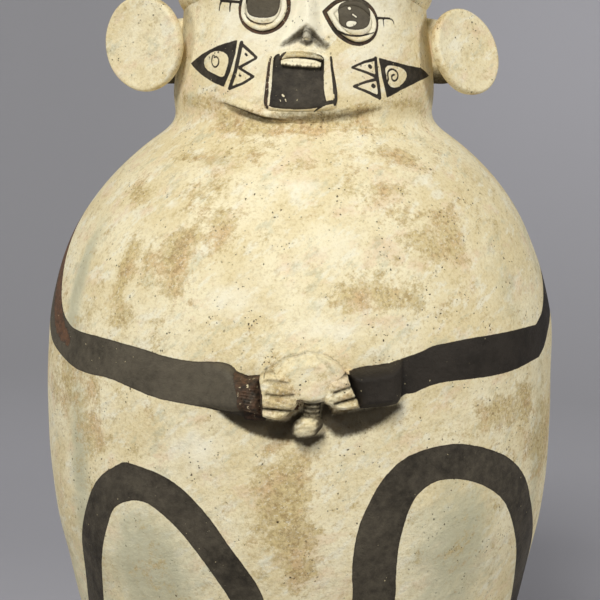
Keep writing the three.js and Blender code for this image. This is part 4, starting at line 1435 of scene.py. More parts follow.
        # From the third on, most of these are painted shadows: under the sleeves, the hands, the boss and the
        # bulb, and between the stem and the hands. The others are thin dark lines and marks, one round the
        # top of the boss.
        shade_and_soil_smudges = [smudge(0.24, 0.8, (0.6, 1.2, 0.9, 0.5), (115, 212), (109.6, 236), (109, 262), (111.6, 296)),
                 smudge(0.24, 0.8, (0.5, 0.9, 0.5), (321, 470), (322, 520), (320, 572)),
                 smudge(1.1, 2.2, (2, 6, 9, 10, 10), (220, 410.6), (236, 418.6), (254, 425), (270, 429),
                        (290, 431)),
                 smudge(1.2, 4, (6, 13, 12, 9, 4), (325, 420), (342, 424), (360, 421), (380, 414),
                        (397, 407)),
                 smudge(1, 2, (3, 6, 3), (294, 438), (308, 442), (322, 436)),
                 smudge(0.55, 1, (1.2, 1, 1.2), (271, 366), (285, 357), (308, 351), (323, 352.6), (337, 361),
                        (345, 369)),
                 smudge(0.42, 2, (2, 3, 2), (318, 358), (328, 365), (333, 371), lift=8),
                 smudge(1, 1.2, (3, 5, 3), (288, 424), (295, 420), (301, 414)),
                 smudge(1.2, 1.2, (3, 5, 4), (326, 405), (327, 412), (326, 420)),
                 smudge(0.8, 1, (1.5, 2.4, 1.5), (292, 420), (298, 417.6), (303, 413), lift=8),
                 smudge(0.9, 1, (1.5, 2.4, 1.5), (322.6, 404), (324, 410), (323, 417), lift=8),
                 smudge(0.7, 1.5, (1, 2, 1), (300, 401), (310, 403), (320, 401), lift=10),
                 smudge(0.9, 0.5, (0.6, 0.5), (265.4, 366), (267.4, 374)),
                 smudge(0.6, 0.5, (0.5, 0.4), (273, 366), (280, 376))]
        patch = Mark(
            route((290.6, 405, 11), (297, 400, 11), (305, 401.6, 11), (305, 411, 11), (298, 415.6, 12),
                  (290.6, 413, 12)),
            thin=1, worn=0.3)
        return Decoration(self.arms() + [cuff, patch] + self.legs(), stains, greys, wears, dusts, shade_and_soil_smudges)


def soft_max(first: Array, second: Array, blend: float) -> Array:
    """The greater of two heights, with a fillet where they meet."""
    mix = np.clip(0.5 + 0.5 * (first - second) / blend, 0, 1)
    return second + (first - second) * mix + blend * mix * (1 - mix)


def dome(depth: Array, shoulder: float | Array, height: float | Array) -> Array:
    """A swelling that is at its height a shoulder's width inside its outline, and falls away outside."""
    t = np.clip(depth / shoulder, 0, 1)
    return np.where(depth > 0, height * np.sqrt(1 - (1 - t) ** 2), 1.5 * depth)


def bar(places: Places, route: Array, halves: Sequence[float], heights: Sequence[float],
        firmness: float = 1.0) -> Array:
    """A coil of clay laid along a route.

    Args:
        places: where to measure.
        route: its angles and heights.
        halves: half its width at each of its points.
        heights: its height at each of its points.
        firmness: 1 for a round coil, and 0 for one whose sides are smeared down.

    Returns:
        Heights above the skin.
    """
    edge, passed = from_line(places, route, np.array(halves))
    marks = np.linspace(0, 1, len(route))
    t = np.clip(-edge / np.interp(passed, marks, halves), 0, 1)
    side = firmness * np.sqrt(1 - (1 - t) ** 2) + (1 - firmness) * t * t * (3 - 2 * t)
    return np.where(edge < 0, np.interp(passed, marks, heights) * side, -1.5 * edge)


def groove(places: Places, route: Array, width: float, depth: float) -> Array:
    """How deep a drawn groove is at each place."""
    edge, _ = from_line(places, route, np.zeros(len(route)))
    return depth * np.exp(-((edge / width) ** 2))


@dataclass
class ClayWork:
    """What every sub-assembly of the jar is made with, and what is painted where it lies."""

    bench: Workbench
    work: Paintwork
    finishes: dict[Slot, bpy.types.Material]
    painted: Decoration

    def __post_init__(self) -> None:
        """Keeps the jar's form and the laying of pixels at hand."""
        self.form, self.route = self.bench.form, self.work.tracer.route

    def dress(
            self, piece: Piece, node: str, slot: Slot = Slot.CREAM, painted: Optional[Decoration] = None,
            bare: Array | float = 0.0, painted_shade_and_soil: Array | float = 0.0) -> None:
        """Paints a piece, with its own bare places, soiling and painted shade, and lets it stand for its
        node.
        """
        self.bench.paint(piece, painted or self.painted, bare, painted_shade_and_soil)
        self.bench.hand_over(piece, node, slot, self.finishes[slot])

    def lute(self, node: str, slot: Slot, outline: Array, step: float, relief: Relief,
             soil_and_shade: Optional[Relief] = None, painted: Optional[Decoration] = None,
             margin: float = 1.5) -> None:
        """Lays a modelled patch of clay on the jar in place of a node.

        Args:
            node: the CAD node.
            slot: its material slot.
            outline: angles and heights that it has to hold.
            step: the spacing of its grid.
            relief: gives its height at each place.
            soil_and_shade: gives how dark each place is painted: soiling, and painted shade under overhangs.
            painted: its own decoration, if it has one.
            margin: how far the grid reaches past the outline.
        """
        side = margin / self.form.around(outline[:, 1].mean())
        (left, bottom), (right, top) = outline.min(axis=0), outline.max(axis=0)
        window = (left - side, right + side, bottom - margin, top + margin)
        piece = self.bench.laid(f"{node}_clay", window, step, relief)
        places = Places.of(self.form, self.bench.points(piece))
        self.dress(piece, node, slot, painted, painted_shade_and_soil=0.0 if soil_and_shade is None else soil_and_shade(places))


@dataclass
class JarBody(ClayWork):
    """The base disc, the two body shells, the neck tube and the rolled rim."""

    wall: float = 7.5
    facets: int = 512
    inner_rows: int = 8
    base_edge: float = 2.0
    base_rest: float = 54.0

    def shell(self, name: str, step: float, painted: Optional[Decoration] = None) -> None:
        """Makes one shell where its CAD node stands.

        Args:
            name: the node's name.
            step: the spacing of its outer rows.
            painted: its own decoration, if it has one.
        """
        form = self.form
        bottom, top = (corner[2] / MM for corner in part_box(name))
        outer = np.linspace(bottom, top, max(int((top - bottom) / step), 4))
        inner = np.linspace(top, bottom, self.inner_rows)
        rows = np.vstack(
            [np.column_stack([form.smooth_radius(outer), outer]),
             np.column_stack([form.smooth_radius(inner) - self.wall * form.slant(inner), inner])])
        piece = self.bench.spun(f"{name}_clay", rows, self.facets)
        self.bench.follow_skin(piece)
        points = self.bench.points(piece)
        places = Places.of(form, points)
        reach = np.hypot(points[:, 0] - form.lean(points[:, 2]), points[:, 1])
        depth = form.radius(places.angle, places.height) - reach
        self.bench.smooth(piece)
        self.dress(piece, name, painted=painted, bare=ease(2, 4, depth))

    def base(self) -> None:
        """Makes the pinched slab that the jar stands on, bare clay underneath."""
        top, rest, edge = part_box("base_disc")[1][2] / MM, self.base_rest, self.base_edge
        turn = np.linspace(0, math.pi / 2, 6)
        corner = np.column_stack([rest - edge + edge * np.sin(turn), edge - edge * np.cos(turn)])
        side = np.linspace(edge + 1, top, 10)
        flank = np.column_stack([self.form.smooth_radius(side), side])
        rows = np.vstack([[[0, 0.6], [rest * 0.6, 0.3]], corner, flank, [[0, top]]])
        piece = self.bench.spun("base_disc_clay", rows, 192)
        self.bench.follow_skin(piece)
        points = self.bench.points(piece)
        points[:, 2] = np.clip(points[:, 2], 0, top)
        self.bench.put(piece, points)
        self.bench.smooth(piece)
        self.dress(piece, "base_disc", Slot.CLAY, bare=1 - ease(2, 7, points[:, 2]))

    def rim(self) -> None:
        """Makes the rolled rim."""
        form = self.form
        low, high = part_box("rim_collar")
        bottom, top = low[2] / MM, high[2] / MM
        outside = form.around(bottom)
        inside = outside - self.wall
        reach = (high[0] - low[0]) / 2 / MM - form.trim - 0.4
        turn = np.linspace(0, math.pi, 22)
        middle = (outside + inside) / 2
        lean = np.where(np.cos(turn) > 0, reach - middle, middle - inside)
        height = bottom + (top - bottom) * (1 + np.sin(turn)) / 2 - 0.3
        roll = np.column_stack([middle + lean * np.cos(turn), height])
        rise = np.linspace(0, 1, 5)[1:-1]
        neck = np.column_stack(
            [outside + (roll[0, 0] - outside) * rise**2, bottom + (roll[0, 1] - bottom) * rise])
        rows = np.vstack([[[inside, bottom], [outside, bottom]], neck, roll])
        piece = self.bench.spun("rim_collar_clay", rows, 256)
        points = self.bench.points(piece)
        angle = np.arctan2(points[:, 0], -points[:, 1])
        swell = 0.3 * np.sin(3 * angle + 1) + 0.25 * np.sin(7 * angle) + 0.2 * np.sin(13 * angle + 2)
        lift = ease(bottom + 3, top, points[:, 2])
        points[:, 2] += lift * (swell - 0.8)
        points[:, 0] += form.lean(points[:, 2])
        self.bench.put(piece, points)
        reach_now = np.hypot(points[:, 0] - form.lean(points[:, 2]), points[:, 1])
        bare = 1 - ease(inside + 1, middle, reach_now)
        wears = [Bloom((math.radians(angle), top - 2), 6, 6, 0.5) for angle in (20, 75, 140, 200, 290)]
        stains = [Bloom((math.radians(angle), top), 30, 9, 0.8) for angle in range(0, 360, 40)]
        self.bench.smooth(piece)
        self.dress(piece, "rim_collar", painted=Decoration([], stains, [], wears), bare=bare)

    def build(self) -> None:
        """Makes the whole jar."""
        self.base()
        self.shell("lower_body", 1.7)
        self.shell("upper_body", 1.4)
        self.shell("head_neck", 0.62, self.work.face())
        self.rim()


@dataclass
class Face(ClayWork):
    """The clay that was luted on the neck to make the eyes, nose, mouth and jaw."""

    grid: float = 0.42
    fine_grid: float = 0.34
    lid_crest: float = 2.2
    lid_inside: float = 1.9
    lid_height: float = 2.2
    upper_lid_height: float = 1.0
    ball_inset: float = 3.5
    ball_shoulder: float = 7.0
    ball_height: float = 2.5
    roll_height: float = 1.3
    roll_feather: float = 4.2

    def eye(self, side: str, outline: Sequence[Pixel]) -> None:
        """Makes one eye's raised lids and its eyeball.

        Args:
            side: the viewer's left or right.
            outline: the pixels of the painted line round the eye.
        """
        ring = rounded(self.route(*outline), True, 2)
        middle = (ring[:, 1].min() + ring[:, 1].max()) / 2

        def lid(places: Places) -> Array:
            """The lid's roll, steep outside and gentle towards the eye.

            Args:
                places: where to measure.

            Returns:
                Heights above the skin.
            """
            depth = -from_ring(places, ring)
            reach = np.where(depth < self.lid_crest, self.lid_crest - 0.9, self.lid_inside)
            t = np.abs(depth - self.lid_crest) / reach
            tall = np.interp(
                places.height, (middle - 4, middle + 9), (self.lid_height, self.upper_lid_height))
            return tall * np.sqrt(np.clip(1 - t**2, 0, 1)) - 3 * np.maximum(t - 1, 0)

        def ball(places: Places) -> Array:
            """The eyeball's dome inside the lids."""
            return dome(-from_ring(places, ring) - self.ball_inset, self.ball_shoulder, self.ball_height)

        def fold(places: Places) -> Array:
            """Darker where the lid meets the eyeball."""
            depth = -from_ring(places, ring)
            return 0.5 * np.exp(-(((depth - self.ball_inset - 0.5) / 0.5) ** 2))

        self.lute(f"{side}_eye_rim", Slot.CREAM, ring, self.grid, lid, fold)
        self.lute(f"{side}_eyeball", Slot.DARK, ring, self.grid, ball, fold)

    def nose(self) -> None:
        """Makes the nose: a ridge, a tip, two wings and the stub between the nostrils."""
        route = self.route
        middle = route((307.5, -16), (307.5, 0), (307, 14), (306.5, 26), (306, 46))
        heights = (4.0, 6.2, 8.8, 10.8, 11.4)
        left_side = route((297.5, -16), (297, 0), (293.5, 16), (287, 30), (275.5, 44.6))
        right_side = route((319, -16), (319.5, 0), (321.5, 16), (325, 32), (331.5, 47))
        lower = route(
            (273, 46.5), (281, 41.6), (290, 36.4), (299, 29.6), (306, 25), (313, 29.4), (321, 38),
            (327, 43.6), (334, 49.5))
        stub = route((307, 28), (307, 35.5))

        def level(line: Array, height: Array) -> Array:
            """The angle of a line that runs down the nose, at each height."""
            return np.interp(height, line[::-1, 1], line[::-1, 0])

        def overhang(places: Places) -> Array:
            """How far each place lies below the lower edge of the nose."""
            return np.interp(places.angle, lower[:, 0], lower[:, 1]) - places.height

        def relief(places: Places) -> Array:
            """The nose's height.

            Args:
                places: where to measure.

            Returns:
                Heights above the skin.
            """
            centre = level(middle, places.height)
            side = np.where(
                places.angle < centre, level(left_side, places.height), level(right_side, places.height))
            t = np.clip(np.abs((places.angle - centre) / (side - centre)), 0, 1.6)
            tall = np.interp(places.height, middle[::-1, 1], heights[::-1])
            slope = 0.62 * (0.5 + 0.5 * np.cos(math.pi * np.minimum(t, 1))) + 0.38 * (1 - t)
            out = tall * slope - 0.15 - 4 * np.maximum(t - 1, 0)
            out = np.where(places.height < middle[4, 1], out - 3, out)
            under = overhang(places)
            slack = np.interp(places.height, (lower[:, 1].min(), lower[:, 1].max()), (2.6, 5.4))
            out = out * (1 - ease(-0.4, 1, under / slack)) - 1.2 * ease(0.8, 1.3, under / slack)
            return soft_max(out, bar(places, stub, (2.6, 2.4), (8.8, 7.0), 0.8), 1.2)

        def shade(places: Places) -> Array:
            """Painted shade under the tip and wings, with some soiling.

            Args:
                places: where to measure.

            Returns:
                How dark it is painted there.
            """
            under = overhang(places)
            turn = np.abs(places.angle - middle[4, 0]) * places.around
            band = np.interp(turn, (0, 4, 9, 13), (7.0, 7.5, 6.0, 3.0))
            soil_and_shade_held = ease(-1.5, 1.6, under) * (1 - ease(0.5, 1.3, under / band))
            knob = np.exp(-((turn / 2.2) ** 2)) * ease(0.8, 2.2, under)
            rings = sum(np.exp(-(((under - row) / 0.5) ** 2)) for row in (2.8, 6.2))
            dark = 0.78 - 0.16 * ease(3, 10, turn) - 0.34 * knob
            return soil_and_shade_held * (1 - ease(11, 15, turn)) * dark + 0.35 * rings * knob

        lines = np.vstack([middle, left_side, right_side])
        self.lute("nose", Slot.CREAM, lines, self.grid, relief, shade, margin=3)

    def mouth(self) -> None:
        """Makes the lip, the teeth and the panel of the open mouth."""
        route = self.route
        frame_ring = rounded(
            route((274, 57), (278, 53.4), (300, 53), (326, 53.4), (332.4, 56.4), (333.4, 68), (336, 82),
                  (338, 97), (335, 107.6), (328, 109.6), (314, 111), (300, 111.4), (284, 111), (266.6, 109.6),
                  (263, 101), (263.4, 88), (265.6, 72), (268, 58.4)),
            True, 1)
        inner_ring = route(*self.work.MOUTH_PANEL)
        rows = route((300, 66), (300, 76), (300, 106))[::-1, 1]
        lip_ring = rounded(
            route((279.4, 60.6), (280, 55.4), (285, 51.6), (297, 50.8), (311, 52.2), (321, 54.6),
                  (324.4, 58.6), (323.4, 62), (314, 59.8), (302, 58), (289, 58), (284, 60.4)),
            True, 1)
        teeth_ring = rounded(
            route((281.2, 58.4), (300, 57.4), (321, 61), (320.6, 68), (316, 68.2), (308, 67.8), (300, 67),
                  (289, 66.4), (283, 65.4), (281.2, 65)),
            True, 1)
        foot = route((281.2, 65), (289, 66.4), (300, 67), (308, 67.8), (320.6, 68))
        lip_middle = route((300, 55))[0, 0]

        def panel(places: Places) -> Array:
            """The frame and the dark panel, which slopes out to its foot.

            Args:
                places: where to measure.

            Returns:
                Heights above the skin.
            """
            outer = dome(-from_ring(places, frame_ring), 2.4, np.interp(places.height, rows, (2.1, 1.7, 1.6)))
            inside = ease(-0.3, 0.7, -from_ring(places, inner_ring) - 0.5)
            sunk = np.interp(places.height, rows, (0.0, 1.1, 1.5))
            return outer - sunk * inside

        def lip(places: Places) -> Array:
            """The lip's roll, pinched here and there."""
            pinch = 0.35 * np.sin(places.angle * 60 + 1) + 0.25 * np.sin(places.angle * 131)
            return dome(-from_ring(places, lip_ring), 1.9, 4.0 + pinch)

        def teeth(places: Places) -> Array:
            """The strip of teeth, undercut by a step."""
            worn = 0.1 * np.sin(places.angle * 61) + 0.12 * np.sin(places.height * 3.1 + places.angle * 20)
            return dome(-from_ring(places, teeth_ring), 0.55, 2.7 + worn)

        def grime_and_shade(places: Places) -> Array:
            """The grey-brown of the lip, darker on its right, with painted shade under it and at its ends.

            Args:
                places: where to measure.

            Returns:
                How dark it is painted there.
            """
            depth = -from_ring(places, lip_ring)
            line = np.interp(places.angle, lip_ring[:6, 0], lip_ring[:6, 1])
            right = ease(lip_middle, lip_middle + 0.09, places.angle)
            return 0.1 + 0.34 * right + 0.6 * (1 - ease(0.2, 1.3, depth)) * ease(
                1.0, 3.0, line - places.height)

        def stained(places: Places) -> Array:
            """The brown along the foot of the teeth: stain, with painted shade from the step under them.

            Args:
                places: where to measure.

            Returns:
                How dark it is painted there.
            """
            ragged = 0.3 * np.sin(places.angle * 77 + 2) + 0.3 * np.sin(places.angle * 247)
            rise = places.height - np.interp(places.angle, foot[:, 0], foot[:, 1])
            return 0.8 * (1 - ease(0.3, 2.0, rise + ragged))

        unpainted = Decoration([], self.painted.stains, self.painted.greys, self.painted.wears)
        self.lute("mouth_panel", Slot.DARK, frame_ring, self.grid, panel)
        self.lute("upper_lip", Slot.DARK, lip_ring, self.fine_grid, lip, grime_and_shade, self.work.lip())
        self.lute("teeth_strip", Slot.CREAM, teeth_ring, self.fine_grid, teeth, stained, unpainted)

    def jaw(self) -> None:
        """Makes the rolled edge of the jaw."""
        def roll(places: Places) -> Array:
            """The roll: smeared up the face and turned sharply under.

            Args:
                places: where to measure.

            Returns:
                Heights above the skin.
            """
            line, swell, depth = self.form.jaw_at(places.angle)
            strength = ease(0.4, 3.0, swell)
            rise = places.height - line
            tall = self.roll_height * strength
            above = tall * np.exp(-((rise / self.roll_feather) ** 2)) - 0.09 * rise
            under = tall * np.sqrt(np.clip(1 - (rise / depth) ** 2, 0, 1)) + 2 * np.minimum(rise + depth, 0)
            return np.where(rise > 0, above, under) - 0.6 * (1 - ease(0, 0.5, strength))

        line = np.array(self.form.jaw_line)[:, :2]
        self.lute("jaw_roll", Slot.CREAM, line, 0.6, roll, margin=3)

    def headband(self) -> None:
        """Makes the band over the brow: higher in front and lower behind the ears."""
        form = self.form
        low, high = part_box("headband")
        tall, swell = 18.0, 2.5
        side, front = low[2] / MM, high[2] / MM - tall
        across = np.linspace(-1, 1, 25)
        outer = np.column_stack([swell * (1 - np.abs(across) ** 3.2), across * tall / 2])
        inner = np.column_stack([np.full(5, -1.2), np.linspace(tall / 2 - 0.2, 0.2 - tall / 2, 5)])
        section = np.vstack([outer, inner])
        piece = self.bench.spun("headband_clay", section + np.array([form.head_radius, 0]), 360)
        points = self.bench.points(piece)
        angle = np.arctan2(points[:, 0], -points[:, 1])
        out = np.hypot(points[:, 0], points[:, 1]) - form.head_radius
        middle = side + (front - side) * np.maximum(np.cos(angle), 0) ** 2 + tall / 2
        sway = 0.5 * np.sin(4 * angle + 1) + 0.3 * np.sin(9 * angle)
        height = middle + points[:, 2] + sway * 0.6
        self.bench.put(piece, form.place(angle, height, out + 0.25 * np.sin(17 * angle) * (out > 0.5)))
        self.bench.smooth(piece)
        self.dress(piece, "headband", painted=self.work.band())

    def build(self) -> None:
        """Makes the whole face."""
        self.headband()
        self.eye("left", self.work.LEFT_EYE)
        self.eye("right", self.work.RIGHT_EYE)
        self.nose()
        self.mouth()
        self.jaw()


@dataclass(frozen=True)
class EarShape:
    """One ear: a disc and the way that it faces."""

    side: str
    azimuth: float
    radius: float
    yaw: float
    tilt: float
    inward: float = 0.0

    @property
    def facing(self) -> Vector:
        """The direction that the disc faces."""
        yaw, tilt = math.radians(self.yaw), math.radians(self.tilt)
        return Vector((math.sin(yaw) * math.cos(tilt), -math.cos(yaw) * math.cos(tilt), math.sin(tilt)))


@dataclass
class Ears(ClayWork):
    """The flattened lugs on the sides of the head and the discs luted to them."""

    left: EarShape = EarShape("left", -87, 26.5, -34.6, 0)
    right: EarShape = EarShape("right", 87, 24.8, 43.7, 17.5, 4.3)
    thickness: float = 6.0
    lip: float = 1.5
    dish: float = 1.5
    root_height: float = 426.0
    root_half_height: float = 18.0
    root_half_depth: float = 7.0
    tip_half_height: float = 15.0
    tip_half_depth: float = 9.0
    reach: float = 12.0

    def middle(self, ear: EarShape) -> Vector:
        """The middle of an ear's disc, in millimetres."""
        low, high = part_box(f"{ear.side}_ear_disc")
        return (low + high) / 2 / MM - Vector((ear.inward, 0, 0))

    def disc(self, ear: EarShape) -> None:
        """Makes one hand-cut disc, dished in front and thinned at its edge.

        Args:
            ear: its ear.
        """
        half, radius = self.thickness / 2, ear.radius - 0.3
        turn = np.linspace(-math.pi / 2, math.pi / 2, 9)
        edge = np.column_stack([radius - self.lip + self.lip * np.cos(turn), (half - 0.2) * np.sin(turn)])
        share = np.linspace(1, 0, 26)
        face = half - 0.2 - self.dish * (1 - share**2.4) * ease(0, 0.12, 1 - share)
        front = np.column_stack([(radius - self.lip) * share, face])[1:]
        back = np.column_stack([(radius - self.lip) * share[::-1], np.full(26, 0.2 - half)])[:-1:2]
        piece = self.bench.spun(f"{ear.side}_ear_disc_clay", np.vstack([back, edge, front]), 180)
        points = self.bench.points(piece)
        angle = np.arctan2(points[:, 1], points[:, 0])
        reach = np.hypot(points[:, 0], points[:, 1]) / radius
        phase = 1.3 if ear.side == "left" else 2.9
        wobble = 1 - 0.006 * (1 + np.sin(2 * angle + phase)) - 0.004 * (1 + np.sin(5 * angle + 2 * phase))
        points[:, :2] *= np.where(reach > 0, wobble, 1)[:, None]
        hollow = 0.5 * np.exp(-(((points[:, 0] - 3) / 2.4) ** 2 + ((points[:, 1] + 2) / 2.2) ** 2))
        waves = 0.22 * np.sin(points[:, 0] / 5 + phase) * np.sin(points[:, 1] / 6 + 2 * phase)
        points[:, 2] += np.where(points[:, 2] > -half + 0.5, (waves - 0.22) * reach - hollow, 0)
        facing = ear.facing
        turned = Vector((0, 0, 1)).rotation_difference(facing).to_matrix()
        points = points @ np.array(turned).T + np.array(self.middle(ear))
        self.bench.put(piece, points)
        self.bench.smooth(piece, 40)
        self.finish(piece, f"{ear.side}_ear_disc", reach)

    def finish(self, piece: Piece, node: str, reach: Array, soil_and_shade: Array | float = 0.0) -> None:
        """Dresses an ear piece: cream, with a worn edge.

        Args:
            piece: the piece.
            node: its node.
            reach: how near its edge each vertex is, 1 at the edge.
            soil_and_shade: how dark it is painted: soiling, and painted shade under the lug.
        """
        layers = {
            "slip_edge": GROUND, "thin": 0.0, "stain": 0.3 * ease(0.9, 1, reach) - 0.1, "grey": 0.05,
            "worn": 0.0, "dust": 0.0, "bare": 0.0, "painted_shade_and_soil": 0.1 * ease(0.93, 1, reach) + soil_and_shade}
        for name, values in layers.items():
            self.bench.write(piece, name, values)
        self.bench.hand_over(piece, node, Slot.CREAM, self.finishes[Slot.CREAM])

    def lug(self, ear: EarShape) -> None:
        """Makes one lug: a flattened arm of clay that bends from the head to the back of the disc.

        Args:
            ear: its ear.
        """
        form = self.form
        azimuth = math.radians(ear.azimuth)
        around = form.around(self.root_height)
        facing = np.array(ear.facing)
        level = np.array([math.cos(azimuth), math.sin(azimuth), 0.0])
        across = level - facing * (level @ facing)
        across /= np.linalg.norm(across)
        up = np.cross(facing, across)
        tip_middle = np.array(self.middle(ear)) - facing * (self.thickness / 2 - 0.5)
        piece = self.bench.begin(
            f"{ear.side}_ear_lug_clay", bpy.ops.mesh.primitive_cylinder_add, vertices=72, radius=1, depth=2,
            end_fill_type="TRIFAN")

        def rows() -> None:
            """Cuts the side into rows."""
            for share in np.linspace(-1, 1, 42)[1:-1]:
                bpy.ops.mesh.select_all(action="SELECT")
                bpy.ops.mesh.bisect(plane_co=(0, 0, float(share)), plane_no=(0, 0, 1))

        self.bench.tidy(piece, rows)
        points = self.bench.points(piece) * MM
        turn = np.arctan2(points[:, 1], points[:, 0])
        wide = np.minimum(np.hypot(points[:, 0], points[:, 1]), 1)
        t = (points[:, 2] + 1) / 2
        root_turn = self.root_half_depth * wide * np.cos(turn) / around
        root_z = self.root_height + self.root_half_height * wide * np.sin(turn)
        root = form.place(azimuth + root_turn, root_z, np.full(len(turn), -1.5))
        outward = form.place(np.full(len(turn), azimuth), root_z, np.full(len(turn), self.reach))
        straight = form.place(np.full(len(turn), azimuth), root_z, np.zeros(len(turn)))
        bend = root + outward - straight
        tip = tip_middle + np.outer(self.tip_half_depth * wide * np.cos(turn), across)
        tip = tip + np.outer(self.tip_half_height * wide * np.sin(turn), up)
        share = t[:, None]
        points = (1 - share) ** 2 * root + 2 * share * (1 - share) * bend + share**2 * tip
        lump = 0.35 * np.sin(3 * turn + 5 * t) + 0.3 * np.sin(9 * t + turn)
        points = points + (lump * wide * ease(0, 0.2, t) * ease(0, 0.2, 1 - t))[:, None] * np.column_stack(
            [np.zeros(len(t)), np.cos(turn), np.sin(turn)])
        self.bench.put(piece, points)
        self.bench.tidy(piece, bpy.ops.mesh.normals_make_consistent)
        self.bench.smooth(piece)
        # The lug is darker along its underside: painted shade.
        under = ease(0.25, 0.9, -np.sin(turn)) * ease(0.3, 0.9, wide)
        self.finish(piece, f"{ear.side}_ear_lug", np.full(len(points), 0.85), 0.1 + 0.8 * under)

    def build(self) -> None:
        """Makes both ears."""
        for ear in (self.left, self.right):
            self.lug(ear)
            self.disc(ear)


@dataclass
class Arms(ClayWork):
    """The forearms that grow out of the body, the hands, and what they clasp."""

    grid: float = 0.5
    hand_grid: float = 0.36
    stem_grid: float = 0.32
    arc: float = 142.0
    groove_width: float = 0.7
    groove_depth: float = 1.6

    def forearms(self) -> None:
        """Makes the sleeves, which stand out more and more towards the wrists."""
        left = self.route(
            (198, 361.6), (214, 362.2), (226, 364), (233, 367), (239.5, 373.4), (248, 376.6), (262, 375.6, 1),
            (263, 396, 10), (262.5, 419.2, 12), (250, 417, 12), (241, 414.8, 12), (228, 415, 10),
            (216, 411.6, 6), (205, 407.4, 3), (194, 405))
        left_angles = self.route(
            (196, 385), (212, 385, 2), (226, 388, 7), (240, 390, 12), (263, 394, 12))[:, 0]
        right = self.route(
            (346.6, 372, 3), (363, 367), (384.4, 364.6), (396, 360.4), (403, 358.4), (405, 380, 3),
            (403, 400, 4), (399, 406.5, 8), (388, 409.6, 11), (374, 411, 12), (360.6, 411.4, 12),
            (353.5, 392, 12))
        right_angles = self.route(
            (346, 385, 12), (372, 385, 12), (393, 383, 10), (400, 382, 7), (404, 380))[:, 0]

        def left_relief(places: Places) -> Array:
            """The left sleeve, with its broken cuff.

            Args:
                places: where to measure.

            Returns:
                Heights above the skin.
            """
            height = np.interp(places.angle, left_angles, (0.0, 2.6, 7.6, 12.4, 13.0))
            shoulder = np.interp(height, (0, 13), (3.0, 6.0))
            out = dome(-from_ring(places, left), shoulder, height)
            cuff = ease(left_angles[3] - 0.004, left_angles[3] + 0.006, places.angle)
            x, y = places.angle * self.arc, places.height
            chips = np.sin(2.3 * x + 1.1 * y) + np.sin(1.4 * y - 2.9 * x + 2) + np.sin(4.1 * y + 0.7 * x)
            return out - cuff * (0.55 + 0.22 * chips) * (out > 0)

        def right_relief(places: Places) -> Array:
            """The right sleeve, a block with a step at its elbow end.

            Args:
                places: where to measure.

            Returns:
                Heights above the skin.
            """
            height = np.interp(places.angle, right_angles, (12.6, 12.9, 11.0, 7.5, 0.0))
            return dome(
                -from_ring(places, right), np.interp(places.angle, right_angles, (5, 5.5, 5, 3.4, 3)), height)

        self.lute("left_forearm", Slot.DARK, left, self.grid, left_relief, margin=2)
        self.lute("right_forearm", Slot.DARK, right, self.grid, right_relief, margin=2)

    def hand(self, node: str, ring: Array, heights: tuple[Array, Sequence[float]],
             grooves: Sequence[tuple[float, Array]]) -> None:
        """Makes one hand: a rounded slab whose fingers are parted by grooves.

        Args:
            node: its node.
            ring: its outline.
            heights: angles, and the hand's height at each.
            grooves: how deep each groove is, from 0 to 1, and its route.
        """
        def relief(places: Places) -> Array:
            """The hand's height.

            Args:
                places: where to measure.

            Returns:
                Heights above the skin.
            """
            height = np.interp(places.angle, heights[0], heights[1])
            out = dome(-from_ring(places, ring), 3.0, height)
            for share, line in grooves:
                out = out - share * groove(places, line, self.groove_width, self.groove_depth)
                out = out - share * groove(places, line, 2.2, 1.0)
            x, y = places.angle * self.arc, places.height
            return out + 0.22 * np.sin(1.3 * x + 0.8 * y) * np.sin(1.7 * y - 0.5 * x) * (out > 1)

        def soil_and_shade(places: Places) -> Array:
            """Darker in the grooves and round the hand's edge: soiling, with painted shade.

            Args:
                places: where to measure.

            Returns:
                How dark it is painted there.
            """
            soil_and_shade_held = sum(
                share * groove(places, line, 0.85, 0.55) + groove(places, line, 2.6, 0.3)
                for share, line in grooves)
            depth = -from_ring(places, ring)
            return np.clip(soil_and_shade_held + 0.45 * (1 - ease(0, 1.6, depth)), 0, 1)

        self.lute(node, Slot.CREAM, ring, self.hand_grid, relief, soil_and_shade)

    def hands(self) -> None:
        """Makes both hands."""
        left = rounded(
            self.route(
                (258.5, 373.6, 4), (266, 371.6, 7), (276, 371.8, 9), (288, 374, 10.5), (296, 382, 11),
                (300, 393, 11), (300, 403, 11), (296, 411, 11.5), (290.5, 415.5, 12), (286, 419.4, 12),
                (277, 423.6, 12), (266, 421, 12), (258, 418.6, 12), (257, 396, 12)),
            True, 1)
        left_heights = (self.route((258, 395, 12), (284, 395, 12), (301, 395, 11))[:, 0], (13.2, 12.8, 11.2))
        left_grooves = (
            (0.35, self.route((268, 381), (278, 382.6), (288, 383.4), lift=12)),
            (0.55, self.route((266, 395), (279, 396.6), (293, 396), lift=12)),
            (1.0, self.route((262.5, 409.2), (275, 410.2), (289.5, 412), lift=12)))
        right = rounded(
            self.route(
                (348, 372.6, 9), (354, 384, 12), (361.5, 400, 12), (362, 409, 12), (356, 411.6, 12),
                (346, 413.4, 12), (336.5, 412.6, 12), (328, 408.8, 12), (321.5, 402.5, 11.5), (324, 391, 11),
                (327, 381.5, 11), (333.5, 375.6, 10)),
            True, 1)
        right_heights = (self.route((322, 395, 11), (340, 392, 12), (360, 392, 12))[:, 0], (11.0, 12.2, 12.6))
        right_grooves = (
            (0.7, self.route((327.6, 382.4), (336, 379.4), (347, 376.2), lift=12)),
            (0.8, self.route((334.8, 393.6), (343, 390.6), (353.8, 387), lift=12)),
            (1.0, self.route((335.4, 405), (345, 401.8), (358, 398.2), lift=12)))
        self.hand("left_hand", left, left_heights, left_grooves)
        self.hand("right_hand", right, right_heights, right_grooves)

